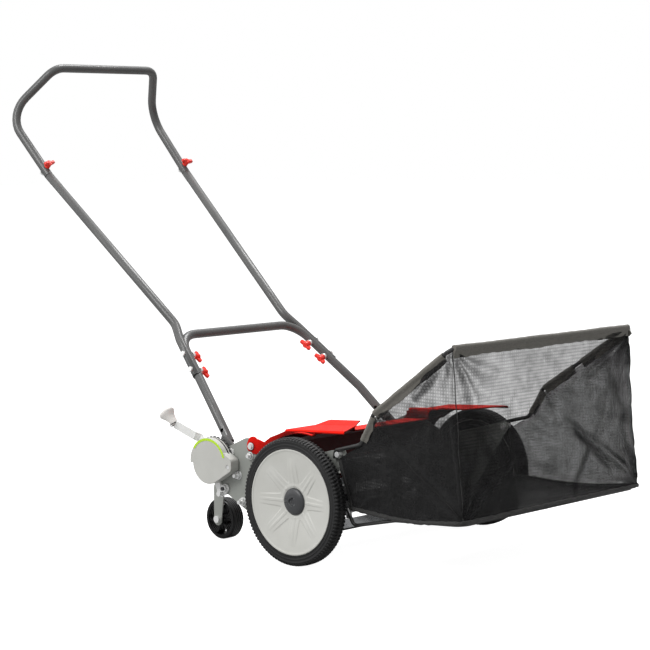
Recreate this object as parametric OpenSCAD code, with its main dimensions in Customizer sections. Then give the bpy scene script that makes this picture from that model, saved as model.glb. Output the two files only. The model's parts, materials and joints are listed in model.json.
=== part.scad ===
// Push reel mower with a front grass bag. Millimetres, +X forward to the bag,
// +Y to the operator's left, +Z up, wheels standing on z = 0.

/* [Wheels] */
// Outside diameter of the main tyres
tyre_d = 254; // [240:1:262]
// Width of the main tyres
tyre_w = 30; // [24:1:32]
// Outside diameter of the wheel discs
rim_d = 210; // [206:1:216]
// Distance between the middles of the two main tyres
track = 583; // [580:1:640]
// Diameter of the hub caps
hub_cap_d = 54; // [44:1:60]
// Diameter of the fixed wheel axles
axle_d = 16; // [12:1:18]

/* [Drive gears] */
// Module of the gear teeth
gear_module = 2.5; // [2.3:0.05:2.6]
// Teeth inside each wheel's ring gear
ring_teeth = 60; // [56:2:62]
// Teeth on each reel pinion
pinion_teeth = 12; // [10:1:13]
// Width of the ring gears
gear_w = 12; // [8:1:13]

/* [Side plates] */
// Distance from the middle of each tyre to the outer face of its side plate
wheel_inset = 33.5; // [33.5:0.5:40]
// Thickness of each side plate
plate_t = 3; // [2:0.5:4]

/* [Cutting reel] */
// Diameter swept by the blades
reel_d = 124; // [110:1:130]
// Number of helical blades
blade_count = 5; // [3:1:7]
// Gap between each end of the blades and the side plate's outer face
blade_gap = 15; // [14:1:40]
// Depth of each blade
blade_depth = 19; // [12:1:22]
// Thickness of each blade
blade_t = 3; // [2:0.5:4]
// Angle that a blade winds round the shaft along its length
blade_twist = 60; // [30:5:75]
// Diameter of the reel shaft
reel_shaft_d = 14; // [12:1:16]
// Gap between the blades and the bed knife
knife_gap = 0.5; // [0.3:0.1:2]
// Width of the bed knife
knife_w = 34; // [26:1:40]
// Thickness of the bed knife
knife_t = 4; // [3:0.5:5]

/* [Rear rollers] */
// Diameter of the small rear wheels
roller_d = 86; // [70:1:92]
// Width of the small rear wheels
roller_w = 30; // [20:1:34]
// Distance between the outer faces of the two small wheels
roller_span = 370; // [300:2:400]
// Thickness of the roller brackets
bracket_t = 3; // [2:0.5:4]
// Diameter of the cross shaft that carries the brackets
roller_shaft_d = 12; // [10:1:14]

/* [Handle] */
// Outside diameter of the handle tubes
tube_d = 19; // [17:0.5:22]
// Wall of the handle tubes
tube_wall = 1.2; // [1:0.1:1.5]
// Height of the grip bar above the ground
grip_z = 1004.7; // [960:1:1060]
// Radius of the corners of the grip bar
grip_bend_r = 40; // [25:1:50]
// Radius of the neck bends of the upper handle
neck_bend_r = 62; // [40:1:80]
// Span of a wing knob
knob_span = 30; // [24:1:34]
// Diameter of the joint bolts
joint_bolt_d = 6; // [5:0.5:6.5]
// Diameter of the bolts that carry the handle
pivot_bolt_d = 8; // [6:0.5:9]
// Diameter of the free hole in each lower handle arm
spare_hole_d = 8.4; // [5:0.2:9]

/* [Height adjuster] */
// Radius of the round part of the adjuster cover
cover_r = 51; // [46:1:53]
// Depth of the adjuster cover
cover_depth = 22; // [18:1:26]
// Throw of the eccentric on the lever
eccentric_throw = 4; // [2:0.5:5]
// Width of the lever strip
lever_w = 18; // [14:1:20]
// Thickness of the lever strip
lever_t = 3; // [2:0.5:3.5]
// Length of the lever knob
lever_knob_len = 36; // [28:1:44]

/* [Grass bag] */
// Half width of the bag at its front
bag_half_w = 288; // [280:1:310]
// Height of the bag's top bar
bag_top_z = 450; // [420:1:500]
// How far the bag's front reaches at its foot
bag_front_x = 418; // [400:1:460]
// Thickness of the bag's cloth
cloth_t = 2; // [1.5:0.5:3]
// Diameter of the top frame's wire
top_wire_d = 8; // [6:0.5:8]
// Diameter of the floor frame's wire
floor_wire_d = 7; // [5:0.5:8]

/* [Hidden] */
$fn = 64;
fit = 0.05;
soft_gap = 0.4;
face_gap = 0.2;
tube_sides = 20;
wire_sides = 12;
bend_steps = 6;

axle_z = tyre_d / 2;
axle_r = axle_d / 2;
tyre_r = tyre_d / 2;
rim_r = rim_d / 2;
tyre_in_y = (track - tyre_w) / 2;
tyre_out_y = (track + tyre_w) / 2;
rim_wall = 3;
shoulder_r = 8;
disc_t = 3;
hub_r = 20;
rim_face_y = tyre_out_y + 0.7;
hub_face_y = tyre_out_y - 15;
clip_y = hub_face_y + 1.6;

plate_span = track - 2 * wheel_inset;
plate_out_y = plate_span / 2;
plate_in_y = plate_out_y - plate_t;
blade_len = plate_span - 2 * blade_gap;

// Where the reel's axis lies, seen from the main axle.
reel_angle = 205;
gear_centres = gear_module * (ring_teeth - pinion_teeth) / 2;
reel_x = gear_centres * cos(reel_angle);
reel_z = axle_z + gear_centres * sin(reel_angle);
reel_r = reel_d / 2;
reel_shaft_r = reel_shaft_d / 2;
gear_in_y = plate_out_y + 7;
gear_out_y = gear_in_y + gear_w;
tooth_root = 1.25 * gear_module;
tooth_tip = 0.96 * gear_module;
ring_pitch_r = gear_module * ring_teeth / 2;
pinion_pitch_r = gear_module * pinion_teeth / 2;
bearing_r = 14;
spider_ys = [-232, -78, 78, 232];
spider_t = 3;
knife_angle = 250;
lip_x = reel_x + (reel_r + knife_gap) * cos(knife_angle);
lip_z = reel_z + (reel_r + knife_gap) * sin(knife_angle);
bar_w = 28;
bar_h = 13;
knife_screw_ys = [-200, -100, 0, 100, 200];
knife_screw_r = 3;

// Bolts and lobes of the side plates, as [x, z].
upper_rod = [-187, 157];
lower_rod = [-175, 104];
roller_pivot = [-223, 127];
handle_pivot = [-207, 203];
deck_bolt = [-148, 220];
knife_adjuster = [-152, 200];
bag_pin = [95, 226];
lever_pivot = [-252, 179];
rod_r = 5;
thread_r = 4;
nut_r = 7.5;
nut_t = 7;

roller_r = roller_d / 2;
roller_x = -318;
roller_out_y = roller_span / 2;
roller_in_y = roller_out_y - roller_w;
roller_shaft_r = roller_shaft_d / 2;
roller_axle_r = 5;
bracket_in_y = roller_out_y + 2.5;
bracket_out_y = bracket_in_y + bracket_t;
bracket_knee = [-314, 108];
crank_end = [-235, 115];
crank_in_y = plate_out_y + 0.6;
crank_out_y = crank_in_y + 3;

tube_r = tube_d / 2;
bore_r = tube_r - tube_wall;
// The handle's corners on the left side, from the grip down to the foot.
grip_corner = [-860, 150.5, grip_z];
neck = [-945, 219, 900];
upper_end = [-818, 211, 764];
mid_bend = [-462, 168, 445.5];
cross_corner = [-440, 179.2, 423.1];
arm_bend = [-290, plate_in_y - 26.5, 288.5];
arm_end = [-224, plate_in_y - 0.5 - tube_d / 2, 219.8];
// The middle tubes' lower ends are pressed to a crescent that hugs the arms from outside.
nest_rise = 3;
nest_start = 14;
nest_end = 119;
lower_bolt_at = [58, 104];
washer_t = 5;
foot_t = 6;
foot_r = 12;
spare_hole = [-244, 243];
spigot_len = 42;
spigot_r = bore_r - 0.3;
// The middle tube's full section stops this short of the upper tube, which meets it at a slight angle.
tube_gap = 1.3;
upper_bolt_in = 18;
knob_gap = 0.3;

// Planes of the adjuster, counted outwards from the middle of the mower.
back_in_y = plate_out_y + 0.3;
back_out_y = back_in_y + 2;
quadrant_out_y = back_out_y + 2.2;
cover_in_y = back_out_y + 0.2;
cover_out_y = cover_in_y + cover_depth;
cover_wall = 2.4;
link_in_y = quadrant_out_y + 0.5;
link_t = 2.5;
lever_in_y = link_in_y + link_t + 0.5;
lever_out_y = lever_in_y + lever_t;
lever_rest_angle = 128;
lever_reach = 60;
eccentric_r = 12;
eccentric_angle = 232;
strap_gap = 0.8;
eccentric = lever_pivot + eccentric_throw * [cos(eccentric_angle), sin(eccentric_angle)];
lever_bolt_r = 4;
scale_r = 48;
scale_w = 5;

// The bag's corners in its side view, as [x, z].
top_wire_r = top_wire_d / 2;
floor_wire_r = floor_wire_d / 2;
bag_rear_half_w = plate_out_y + 7;
bag_rear_x = 135;
bag_front_top = [394, bag_top_z];
bag_front_foot = [bag_front_x, 128];
bag_knee = [188, 312];
bag_wrist = [153, 250];
bag_rear_foot = [140, 120];

// ---- helpers ----

function unit(v) = v / norm(v);
function flip_y(p) = [p.x, -p.y, p.z];
function reversed(list) = [for (i = [len(list) - 1:-1:0]) list[i]];
function turn_at(a, b, c) = acos(unit(b - a) * unit(c - b));

// Normal, pointing right, of the line that touches circles a and b ([x, z, r]) on their right.
function touch_normal(a, b) =
    let (
        d = [b[0] - a[0], b[1] - a[1]],
        u = unit(d),
        k = (a[2] - b[2]) / norm(d)
    ) u * k + [u[1], -u[0]] * sqrt(1 - k * k);

// Outline wrapped round circles [x, z, r] that are listed anticlockwise round a convex shape.
module wrapped(circles) {
    n = len(circles);
    polygon([
        for (i = [0:n - 1])
            let (
                c = circles[i],
                before = touch_normal(circles[(i + n - 1) % n], c),
                after = touch_normal(c, circles[(i + 1) % n])
            ) each [[c[0], c[1]] + before * (c[2] - 0.02), [c[0], c[1]] + after * (c[2] - 0.02)]
    ]);
    for (c = circles) translate([c[0], c[1]]) circle(r = c[2]);
}

// Extrudes an outline drawn in X and Z from y0 to y1.
module along_y(y0, y1) {
    translate([0, y1, 0]) rotate([90, 0, 0]) linear_extrude(y1 - y0) children();
}

module disc_y(at, y0, y1, r) {
    along_y(y0, y1) translate([at[0], at[1]]) circle(r = r);
}

module washer_y(at, y0, y1, r_out, r_in) {
    along_y(y0, y1) translate([at[0], at[1]]) difference() {
        circle(r = r_out);
        circle(r = r_in);
    }
}

module hex_y(at, y0, y1, r) {
    along_y(y0, y1) translate([at[0], at[1]]) circle(r = r, $fn = 6);
}

// Turns a profile of [radius, y] points round a line along Y.
module turned_y(at) {
    translate([at[0], 0, at[1]]) rotate([-90, 0, 0]) rotate_extrude() children();
}

// side is 1 for the left of the mower and -1 for its right.
module on_side(side) {
    if (side > 0) children();
    else mirror([0, 1, 0]) children();
}

module both_sides() {
    on_side(1) children();
    on_side(-1) children();
}

module placed() {
    translate([frame_shift, 0, 0]) children();
}

// Places children with their z axis along w and their x axis near u.
module facing(at, w, u = [0, 1, 0]) {
    z = unit(w);
    x = unit(u - z * (u * z));
    y = cross(z, x);
    multmatrix([
        [x.x, y.x, z.x, at.x],
        [x.y, y.y, z.y, at.y],
        [x.z, y.z, z.z, at.z]
    ]) children();
}

// Points of a line through p whose inner corners are rounded at the radii in bends.
function rounded_path(p, bends) = [
    for (i = [0:len(p) - 1])
        if (i == 0 || i == len(p) - 1) p[i]
        else
            let (
                d1 = unit(p[i] - p[i - 1]),
                d2 = unit(p[i + 1] - p[i]),
                turn = turn_at(p[i - 1], p[i], p[i + 1]),
                start = p[i] - d1 * bends[i] * tan(turn / 2),
                inward = unit(d2 - d1 * (d1 * d2)),
                steps = max(2, round(bend_steps * turn / 60))
            )
            for (k = [0:steps])
                let (a = turn * k / steps)
                start + d1 * bends[i] * sin(a) + inward * bends[i] * (1 - cos(a))
];

function path_dirs(p) = [
    for (i = [0:len(p) - 1])
        i == 0 ? unit(p[1] - p[0])
        : i == len(p) - 1 ? unit(p[i] - p[i - 1])
        : unit(unit(p[i] - p[i - 1]) + unit(p[i + 1] - p[i]))
];

// A direction across the path at each point, carried along it without twisting.
function path_sides(dirs, first) = [
    for (i = 0, s = unit(first - dirs[0] * (first * dirs[0]));
        i < len(dirs);
        i = i + 1, s = i < len(dirs) ? unit(s - dirs[i] * (s * dirs[i])) : s) s
];

// A bar or tube along path: r_in is 0 for a solid bar.
module swept(path, r_out, r_in, sides, first = [0.31, 0.17, 0.93]) {
    n = len(path);
    dirs = path_dirs(path);
    across = path_sides(dirs, first);
    grow = 1 / cos(90 / sides);
    ring = function(i, r) [
        for (k = [0:sides - 1])
            path[i] + (across[i] * cos(360 * k / sides)
                + cross(dirs[i], across[i]) * sin(360 * k / sides)) * r * grow
    ];
    outer = [for (i = [0:n - 1]) each ring(i, r_out)];
    inner = [if (r_in > 0) for (i = [0:n - 1]) each ring(i, r_in)];
    base = n * sides;
    next = function(k) (k + 1) % sides;
    last = (n - 1) * sides;
    skin = [
        for (i = [0:n - 2], k = [0:sides - 1])
            each [
                [i * sides + k, (i + 1) * sides + k, (i + 1) * sides + next(k)],
                [i * sides + k, (i + 1) * sides + next(k), i * sides + next(k)]
            ]
    ];
    bore = [
        if (r_in > 0) for (f = skin) [base + f[2], base + f[1], base + f[0]]
    ];
    ends = r_in > 0
        ? [
            for (k = [0:sides - 1])
                each [
                    [k, next(k), base + next(k)],
                    [k, base + next(k), base + k],
                    [last + k, base + last + next(k), last + next(k)],
                    [last + k, base + last + k, base + last + next(k)]
                ]
        ]
        : [
            for (k = [1:sides - 2])
                each [[0, k, k + 1], [last, last + k + 1, last + k]]
        ];
    polyhedron(points = concat(outer, inner), faces = concat(skin, bore, ends));
}

// ---- side plates and chassis ----

module plate_outline() {
    wrapped([
        [roller_pivot[0] + 7, roller_pivot[1], 12.5], [-150, 92, 12], [0, axle_z, 36],
        [deck_bolt[0], deck_bolt[1], 15], [-163, 221, 14],
        [lever_pivot[0] + 2, lever_pivot[1] + 1, 17]
    ]);
    wrapped([[-150, 92, 12], [lip_x - knife_w, lip_z - 10, 14], [-45, 62, 16], [0, axle_z, 36]]);
    wrapped([[0, axle_z, 36], [bag_pin[0], bag_pin[1], 11], [-40, 190, 12]]);
}

module side_plate(side) {
    color("#8c8e8a") placed() on_side(side) difference() {
        along_y(plate_in_y, plate_out_y) plate_outline();
        along_y(plate_in_y - 1, plate_out_y + 1) {
            translate([0, axle_z]) circle(r = axle_r + fit);
            translate([reel_x, reel_z]) circle(r = bearing_r + fit);
            translate(roller_pivot) circle(r = roller_shaft_r + fit);
            translate(handle_pivot) circle(r = pivot_bolt_d / 2 + fit);
            translate(upper_rod) circle(r = thread_r + fit);
            translate(lower_rod) circle(r = thread_r + fit);
            translate(deck_bolt) circle(r = 3 + fit);
            translate(bag_pin) circle(r = 4 + fit);
            translate(knife_adjuster) circle(r = thread_r + fit);
            translate(lever_pivot) circle(r = lever_bolt_r + fit);
        }
    }
}

module side_plate_right() {
    side_plate(-1);
}

module side_plate_left() {
    side_plate(1);
}

// Cross rods that hold the side plates apart, turned down where they pass through.
module tie_rods() {
    color("#c4c6c8") placed() for (at = [upper_rod, lower_rod]) {
        disc_y(at, -plate_in_y, plate_in_y, rod_r);
        disc_y(at, -plate_out_y - 15, plate_out_y + 15, thread_r);
    }
}

module tie_rod_nuts() {
    color("#d8dadc") placed() both_sides() for (at = [upper_rod, lower_rod])
        difference() {
            union() {
                disc_y(at, plate_out_y, plate_out_y + 1.6, nut_r + 1.5);
                hex_y(at, plate_out_y, plate_out_y + nut_t, nut_r);
            }
            disc_y(at, plate_out_y - 1, plate_out_y + nut_t + 1, thread_r + fit);
        }
}

// Screws that set the bed knife against the reel, each with its lock nut.
module knife_adjusters() {
    color("#d8dadc") placed() both_sides() {
        disc_y(knife_adjuster, plate_in_y - 8, plate_out_y + 11, thread_r);
        disc_y(knife_adjuster, plate_out_y, plate_out_y + 1.6, nut_r + 0.5);
        hex_y(knife_adjuster, plate_out_y, plate_out_y + 6.5, nut_r - 0.5);
        hex_y(knife_adjuster, plate_in_y - 6, plate_in_y, nut_r - 0.5);
    }
}

module bag_pins() {
    color("#c4c6c8") placed() both_sides() {
        disc_y(bag_pin, plate_in_y - 2, plate_out_y + 13, 4);
        disc_y(bag_pin, plate_in_y - 4, plate_in_y, 6.5);
        disc_y(bag_pin, plate_out_y + 13, plate_out_y + 14.5, 5.5);
    }
}

// ---- deck cover ----

deck_t = 2.6;
deck_in_y = plate_out_y + 0.3;
deck_out_y = deck_in_y + deck_t;
deck_top_z = 262;
ridge_rise = 5.5;
ridge_y = 120;
bridge_drop = 15;
deck_rear_x = -54;
deck_front_x = 108;
deck_slope = 3.2;
arch_r = tyre_r + 4;

// Cross-section of the top, from the middle outwards, as [y, z] seen from behind.
function deck_top_line(down) = [
    [0, deck_top_z - bridge_drop - down], [ridge_y - 4, deck_top_z - bridge_drop - down],
    [ridge_y, deck_top_z + ridge_rise - down - 2], [ridge_y + 3, deck_top_z + ridge_rise - down],
    [ridge_y + 12, deck_top_z + ridge_rise - down], [ridge_y + 50, deck_top_z - down],
    [deck_out_y - 3.4, deck_top_z - down], [deck_out_y - 0.4, deck_top_z - down - 3]
];

module deck_top_half() {
    inner_end = [deck_out_y - 0.4, deck_top_z - deck_t - 3];
    translate([deck_rear_x, 0, deck_top_z]) rotate([0, -deck_slope, 0])
        translate([0, 0, -deck_top_z]) rotate([90, 0, 90])
            linear_extrude(deck_front_x - deck_rear_x + 4)
                polygon(concat(deck_top_line(0), [inner_end], reversed([
                    for (p = deck_top_line(deck_t)) [min(p[0], deck_in_y + 0.4), p[1]]
                ])));
}

// Plan of the top: its front edge runs back from the outer corners to the middle.
module deck_plan() {
    linear_extrude(400) polygon([
        [deck_rear_x - 4, -1], [4, -1], [4, ridge_y - 0.7], [24, ridge_y + 2],
        [deck_front_x - 6, deck_out_y - 8], [deck_front_x - 4, deck_out_y + 1],
        [deck_rear_x - 4, deck_out_y + 1]
    ]);
}

// Rear panel that runs down behind the reel.
module deck_rear() {
    slope_foot = [-120, 224];
    foot = [-158, 168];
    along_y(-plate_in_y + 0.4, plate_in_y - 0.4) polygon([
        [deck_rear_x + 1, deck_top_z - bridge_drop], [slope_foot[0], slope_foot[1]],
        [foot[0], foot[1]], [foot[0] + deck_t, foot[1]],
        [slope_foot[0] + deck_t, slope_foot[1] - deck_t * 1.2],
        [deck_rear_x + 1, deck_top_z - bridge_drop - deck_t]
    ]);
}

// Fender beside each tyre, with its lug for the deck bolt.
module deck_fender() {
    difference() {
        along_y(deck_in_y, deck_out_y) difference() {
            union() {
                wrapped([[deck_bolt[0] + 3, deck_bolt[1], 15], [deck_bolt[0] + 5, deck_bolt[1] + 5, 15]]);
                polygon([
                    [-147, 205], [-60, 205], [28, 190], [28, deck_top_z + 0.98], [deck_rear_x, deck_top_z - 3.6],
                    [-72, 251], [-94, 243], [-112, 231], [-130, 236]
                ]);
            }
            translate([0, axle_z]) circle(r = arch_r + 0.8);
            translate(deck_bolt) circle(r = 3 + fit);
        }
        disc_y([-117, 248], deck_in_y - 1, deck_out_y + 1, 14);
        disc_y(knife_adjuster, deck_in_y - 1, deck_out_y + 1, nut_r + 2);
    }
}

module deck_arch() {
    translate([0, 0, axle_z]) rotate([-90, 0, 0])
        rotate_extrude(angle = 50, start = 232)
            translate([arch_r, deck_in_y + 0.6]) square([deck_t, 11.4]);
}

module deck_cover() {
    color("#f02814") placed() {
        both_sides() {
            intersection() {
                deck_top_half();
                deck_plan();
            }
            deck_fender();
            deck_arch();
            // Inner wall that closes the step down to the rear panel.
            along_y(ridge_y - 4.6, ridge_y - 4.6 + deck_t) polygon([
                [deck_rear_x - 2, deck_top_z - bridge_drop - deck_t], [3, deck_top_z - bridge_drop + 1],
                [3, deck_top_z], [deck_rear_x - 2, deck_top_z]
            ]);
        }
        deck_rear();
        // Rear riser from the rear panel up to the raised tops.
        both_sides() along_y(ridge_y - 3.4, plate_in_y - 0.4) polygon([
            [deck_rear_x - 10, 250 - deck_t], [deck_rear_x + 2.4, deck_top_z - 1], [deck_rear_x + 2.4, 242],
            [deck_rear_x - 10, 240]
        ]);
    }
}

module deck_bolts() {
    color("#d8dadc") placed() both_sides() {
        disc_y(deck_bolt, plate_in_y - 5, deck_out_y + 3, 3);
        hex_y(deck_bolt, deck_out_y, deck_out_y + 5, 6);
        disc_y(deck_bolt, deck_out_y, deck_out_y + 1.5, 7.5);
        hex_y(deck_bolt, plate_in_y - 5, plate_in_y, 6);
    }
}

// ---- bed knife ----

module bed_knife_bar() {
    color("#3a3a3c") placed() difference() {
        translate([lip_x - knife_w - 4, -plate_in_y, lip_z - knife_t - bar_h])
            cube([bar_w, 2 * plate_in_y, bar_h]);
        for (y = knife_screw_ys)
            translate([lip_x - knife_w + 10, y, lip_z - knife_t - 10])
                cylinder(h = 20, r = knife_screw_r + fit);
    }
}

module bed_knife() {
    color("#b8babc") placed() difference() {
        along_y(-blade_len / 2, blade_len / 2) polygon([
            [lip_x, lip_z], [lip_x - knife_w, lip_z], [lip_x - knife_w, lip_z - knife_t],
            [lip_x - 4, lip_z - knife_t]
        ]);
        for (y = knife_screw_ys) translate([lip_x - knife_w + 10, y, 0]) {
            translate([0, 0, lip_z - knife_t - 1]) cylinder(h = 20, r = knife_screw_r + fit);
            translate([0, 0, lip_z - 2]) cylinder(h = 20, r = knife_screw_r + 2.6);
        }
    }
}

module knife_screws() {
    color("#6a6c6e") placed() for (y = knife_screw_ys) translate([lip_x - knife_w + 10, y, 0]) {
        translate([0, 0, lip_z - knife_t - 9]) cylinder(h = knife_t + 8, r = knife_screw_r);
        translate([0, 0, lip_z - 2]) cylinder(h = 1.8, r = knife_screw_r + 2.4);
    }
}

// ---- reel ----

module bearing_housings() {
    color("#5a5c5e") placed() both_sides()
        washer_y([reel_x, reel_z], plate_in_y - 9, plate_in_y, 27, bearing_r + fit);
}

module reel_bearings() {
    color("#c4c6c8") placed() both_sides()
        washer_y([reel_x, reel_z], plate_in_y - 8, plate_out_y, bearing_r, reel_shaft_r + fit);
}

shaft_half = gear_out_y + 1.5;
pawl_w = 3;
pawl_in_y = gear_in_y + 2;
pawl_out_y = gear_out_y - 2;
pawl_reach = reel_shaft_r + 2;

module pawl_block(w, y0, y1, low, high) {
    translate([reel_x, 0, reel_z]) rotate([0, -reel_angle, 0])
        translate([low, y0, -w / 2]) cube([high - low, y1 - y0, w]);
}

module reel_shaft() {
    color("#8a8c8e") placed() difference() {
        disc_y([reel_x, reel_z], -shaft_half, shaft_half, reel_shaft_r);
        both_sides() pawl_block(pawl_w + 2 * fit, pawl_in_y, pawl_out_y, -20, 20);
    }
}

module drive_pawls() {
    color("#a0a2a4") placed() both_sides()
        pawl_block(pawl_w, pawl_in_y + fit, pawl_out_y - fit, -reel_shaft_r + 0.5, pawl_reach);
}

function blade_phase(y) = blade_twist * y / blade_len;

module reel_spiders() {
    color("#4a4c4e") placed() for (y = spider_ys)
        along_y(y - spider_t / 2, y + spider_t / 2) translate([reel_x, reel_z]) difference() {
            union() {
                circle(r = 22);
                for (i = [0:blade_count - 1]) rotate(360 * i / blade_count + blade_phase(y))
                    translate([0, -7]) square([reel_r - blade_depth - face_gap, 14]);
            }
            circle(r = reel_shaft_r + fit);
        }
}

module reel_blades() {
    color("#2e2e30") placed() translate([reel_x, blade_len / 2, reel_z]) rotate([90, 0, 0])
        for (i = [0:blade_count - 1]) rotate(360 * i / blade_count + blade_phase(blade_len / 2))
            linear_extrude(blade_len, twist = blade_twist, slices = 24, $fn = 1)
                translate([reel_r - blade_depth, -blade_t / 2]) square([blade_depth, blade_t]);
}

// Points of a gear outline: each tooth is a trapezium between two radii.
function gear_points(teeth, r_low, r_high, low_w, high_w) = [
    for (i = [0:teeth - 1])
        let (a = 360 * i / teeth, lo = low_w / r_low * 90 / PI, hi = high_w / r_high * 90 / PI)
        each [
            r_low * [cos(a - lo), sin(a - lo)], r_high * [cos(a - hi), sin(a - hi)],
            r_high * [cos(a + hi), sin(a + hi)], r_low * [cos(a + lo), sin(a + lo)]
        ]
];

tooth_w = PI * gear_module / 2 - 0.55;

module drive_pinions() {
    color("#7a7c7e") placed() both_sides() difference() {
        along_y(gear_in_y - 1, gear_out_y + 1) translate([reel_x, reel_z]) rotate(reel_angle)
            difference() {
                polygon(gear_points(pinion_teeth, pinion_pitch_r - tooth_root,
                    pinion_pitch_r + tooth_tip, tooth_w * 1.5, tooth_w * 0.5));
                circle(r = reel_shaft_r + fit);
            }
        pawl_block(pawl_w + 2 * fit, pawl_in_y, pawl_out_y, 0, pawl_reach + fit);
    }
}

// ---- main wheels ----

module wheel_axles() {
    color("#9a9c9e") placed() both_sides() turned_y([0, axle_z]) polygon([
        [0, plate_in_y - 9], [12, plate_in_y - 9], [12, plate_in_y], [axle_r, plate_in_y],
        [axle_r, clip_y], [axle_r - 1.2, clip_y], [axle_r - 1.2, clip_y + 1.4],
        [axle_r, clip_y + 1.4], [axle_r, clip_y + 2.6], [axle_r - 1, clip_y + 3.4],
        [0, clip_y + 3.4]
    ]);
}

module axle_retainers() {
    color("#c4c6c8") placed() both_sides() {
        washer_y([0, axle_z], plate_out_y + 1.4, plate_out_y + 5.6, 14, axle_r + fit);
        washer_y([0, axle_z], hub_face_y + 0.1, clip_y - 0.2, 13, axle_r + fit);
        along_y(clip_y + 0.1, clip_y + 1.3) translate([0, axle_z]) difference() {
            circle(r = 11);
            circle(r = axle_r - 1.1);
            translate([0, -3]) square([20, 6]);
        }
    }
}

module tyre(side) {
    color("#3c3e3e") placed() on_side(side) turned_y([0, axle_z]) {
        translate([rim_r, tyre_in_y]) square([tyre_r - shoulder_r - rim_r, tyre_w]);
        translate([rim_r, tyre_in_y + shoulder_r])
            square([tyre_r - rim_r, tyre_w - 2 * shoulder_r]);
        for (y = [tyre_in_y + shoulder_r, tyre_out_y - shoulder_r])
            translate([tyre_r - shoulder_r, y]) circle(r = shoulder_r);
    }
}

module tyre_right() {
    tyre(-1);
}

module tyre_left() {
    tyre(1);
}

// Dished disc: its rim stands at the tyre's side wall and its hub lies deeper.
module wheel_disc(side) {
    hub_in_y = plate_out_y + 6;
    web_y = hub_face_y - disc_t;
    color("#c6c6c0") placed() on_side(side) turned_y([0, axle_z]) polygon([
        [axle_r + fit, hub_in_y], [hub_r, hub_in_y], [hub_r, web_y], [hub_r + 15, web_y],
        [rim_r - 14, rim_face_y - disc_t - 5], [rim_r - rim_wall, rim_face_y - disc_t - 1.5],
        [rim_r - rim_wall, tyre_in_y + 1], [rim_r - fit, tyre_in_y + 1], [rim_r - fit, rim_face_y - 0.8],
        [rim_r - 1, rim_face_y], [rim_r - 3, rim_face_y], [rim_r - 7, rim_face_y - 3],
        [rim_r - 15, rim_face_y - 5], [hub_r + 16, hub_face_y], [axle_r + fit, hub_face_y]
    ]);
}

module wheel_disc_right() {
    wheel_disc(-1);
}

module wheel_disc_left() {
    wheel_disc(1);
}

module ring_gear(side) {
    color("#8a8c8e") placed() on_side(side) {
        along_y(gear_in_y, gear_out_y) translate([0, axle_z]) difference() {
            circle(r = rim_r - rim_wall - 8);
            rotate(reel_angle) polygon(gear_points(ring_teeth, ring_pitch_r - tooth_tip,
                ring_pitch_r + tooth_root, PI * gear_module - tooth_w * 0.6,
                PI * gear_module - tooth_w * 1.4));
        }
        washer_y([0, axle_z], gear_out_y - 2, gear_out_y + 6, rim_r - rim_wall - fit,
            rim_r - rim_wall - 11);
    }
}

module ring_gear_right() {
    ring_gear(-1);
}

module ring_gear_left() {
    ring_gear(1);
}

module hub_cap(side) {
    seat_y = hub_face_y + 0.1;
    r = hub_cap_d / 2;
    color("#3c3e40") placed() on_side(side) turned_y([0, axle_z]) polygon([
        [0, seat_y + 6.4], [13.5, seat_y + 6.4], [15, seat_y + 5], [15, seat_y], [r, seat_y],
        [r, seat_y + 2.5], [r - 2, seat_y + 5], [r - 6, seat_y + 7.4], [r - 11, seat_y + 8.6],
        [0, seat_y + 8.6]
    ]);
}

module hub_cap_right() {
    hub_cap(-1);
}

module hub_cap_left() {
    hub_cap(1);
}

// ---- rear rollers ----

module roller_shaft() {
    color("#4a4c4e") placed() {
        disc_y(roller_pivot, -plate_out_y - 0.4, plate_out_y + 0.4, roller_shaft_r);
        disc_y(roller_pivot, -plate_out_y - 14, plate_out_y + 11, thread_r);
    }
}

module roller_bracket(side) {
    color("#8c8e8a") placed() on_side(side) along_y(bracket_in_y, bracket_out_y) difference() {
        union() {
            wrapped([
                [roller_x - 1, roller_r - 3, 10.5], [bracket_knee[0], bracket_knee[1], 15.5]
            ]);
            wrapped([
                [bracket_knee[0], bracket_knee[1], 15.5],
                [roller_pivot[0], roller_pivot[1], roller_shaft_r + 6]
            ]);
        }
        translate(roller_pivot) circle(r = roller_shaft_r + fit);
        translate([roller_x, roller_r]) circle(r = roller_axle_r + fit);
    }
}

module roller_bracket_right() {
    roller_bracket(-1);
}

module roller_bracket_left() {
    roller_bracket(1);
}

// Roller axles, the nuts on the cross shaft and the pin that drives the crank.
module roller_bolts() {
    color("#d8dadc") placed() {
        both_sides() {
            disc_y([roller_x, roller_r], roller_in_y - 2, bracket_out_y, roller_axle_r);
            disc_y([roller_x, roller_r], bracket_out_y, bracket_out_y + 6, 7.5);
            disc_y([roller_x, roller_r], roller_in_y - 6, roller_in_y - 2, 8);
        }
        on_side(1) difference() {
            hex_y(roller_pivot, plate_out_y + 0.7, plate_out_y + nut_t, nut_r);
            disc_y(roller_pivot, plate_out_y, plate_out_y + 20, thread_r + fit);
        }
        on_side(-1) {
            difference() {
                hex_y(roller_pivot, crank_out_y + 0.1, crank_out_y + nut_t, nut_r);
                disc_y(roller_pivot, plate_out_y, plate_out_y + 20, thread_r + fit);
            }
            disc_y(crank_end, crank_in_y, link_in_y + link_t + 0.6, 3);
            disc_y(crank_end, link_in_y + link_t + 0.6, link_in_y + link_t + 5, 5.5);
        }
    }
}

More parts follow.
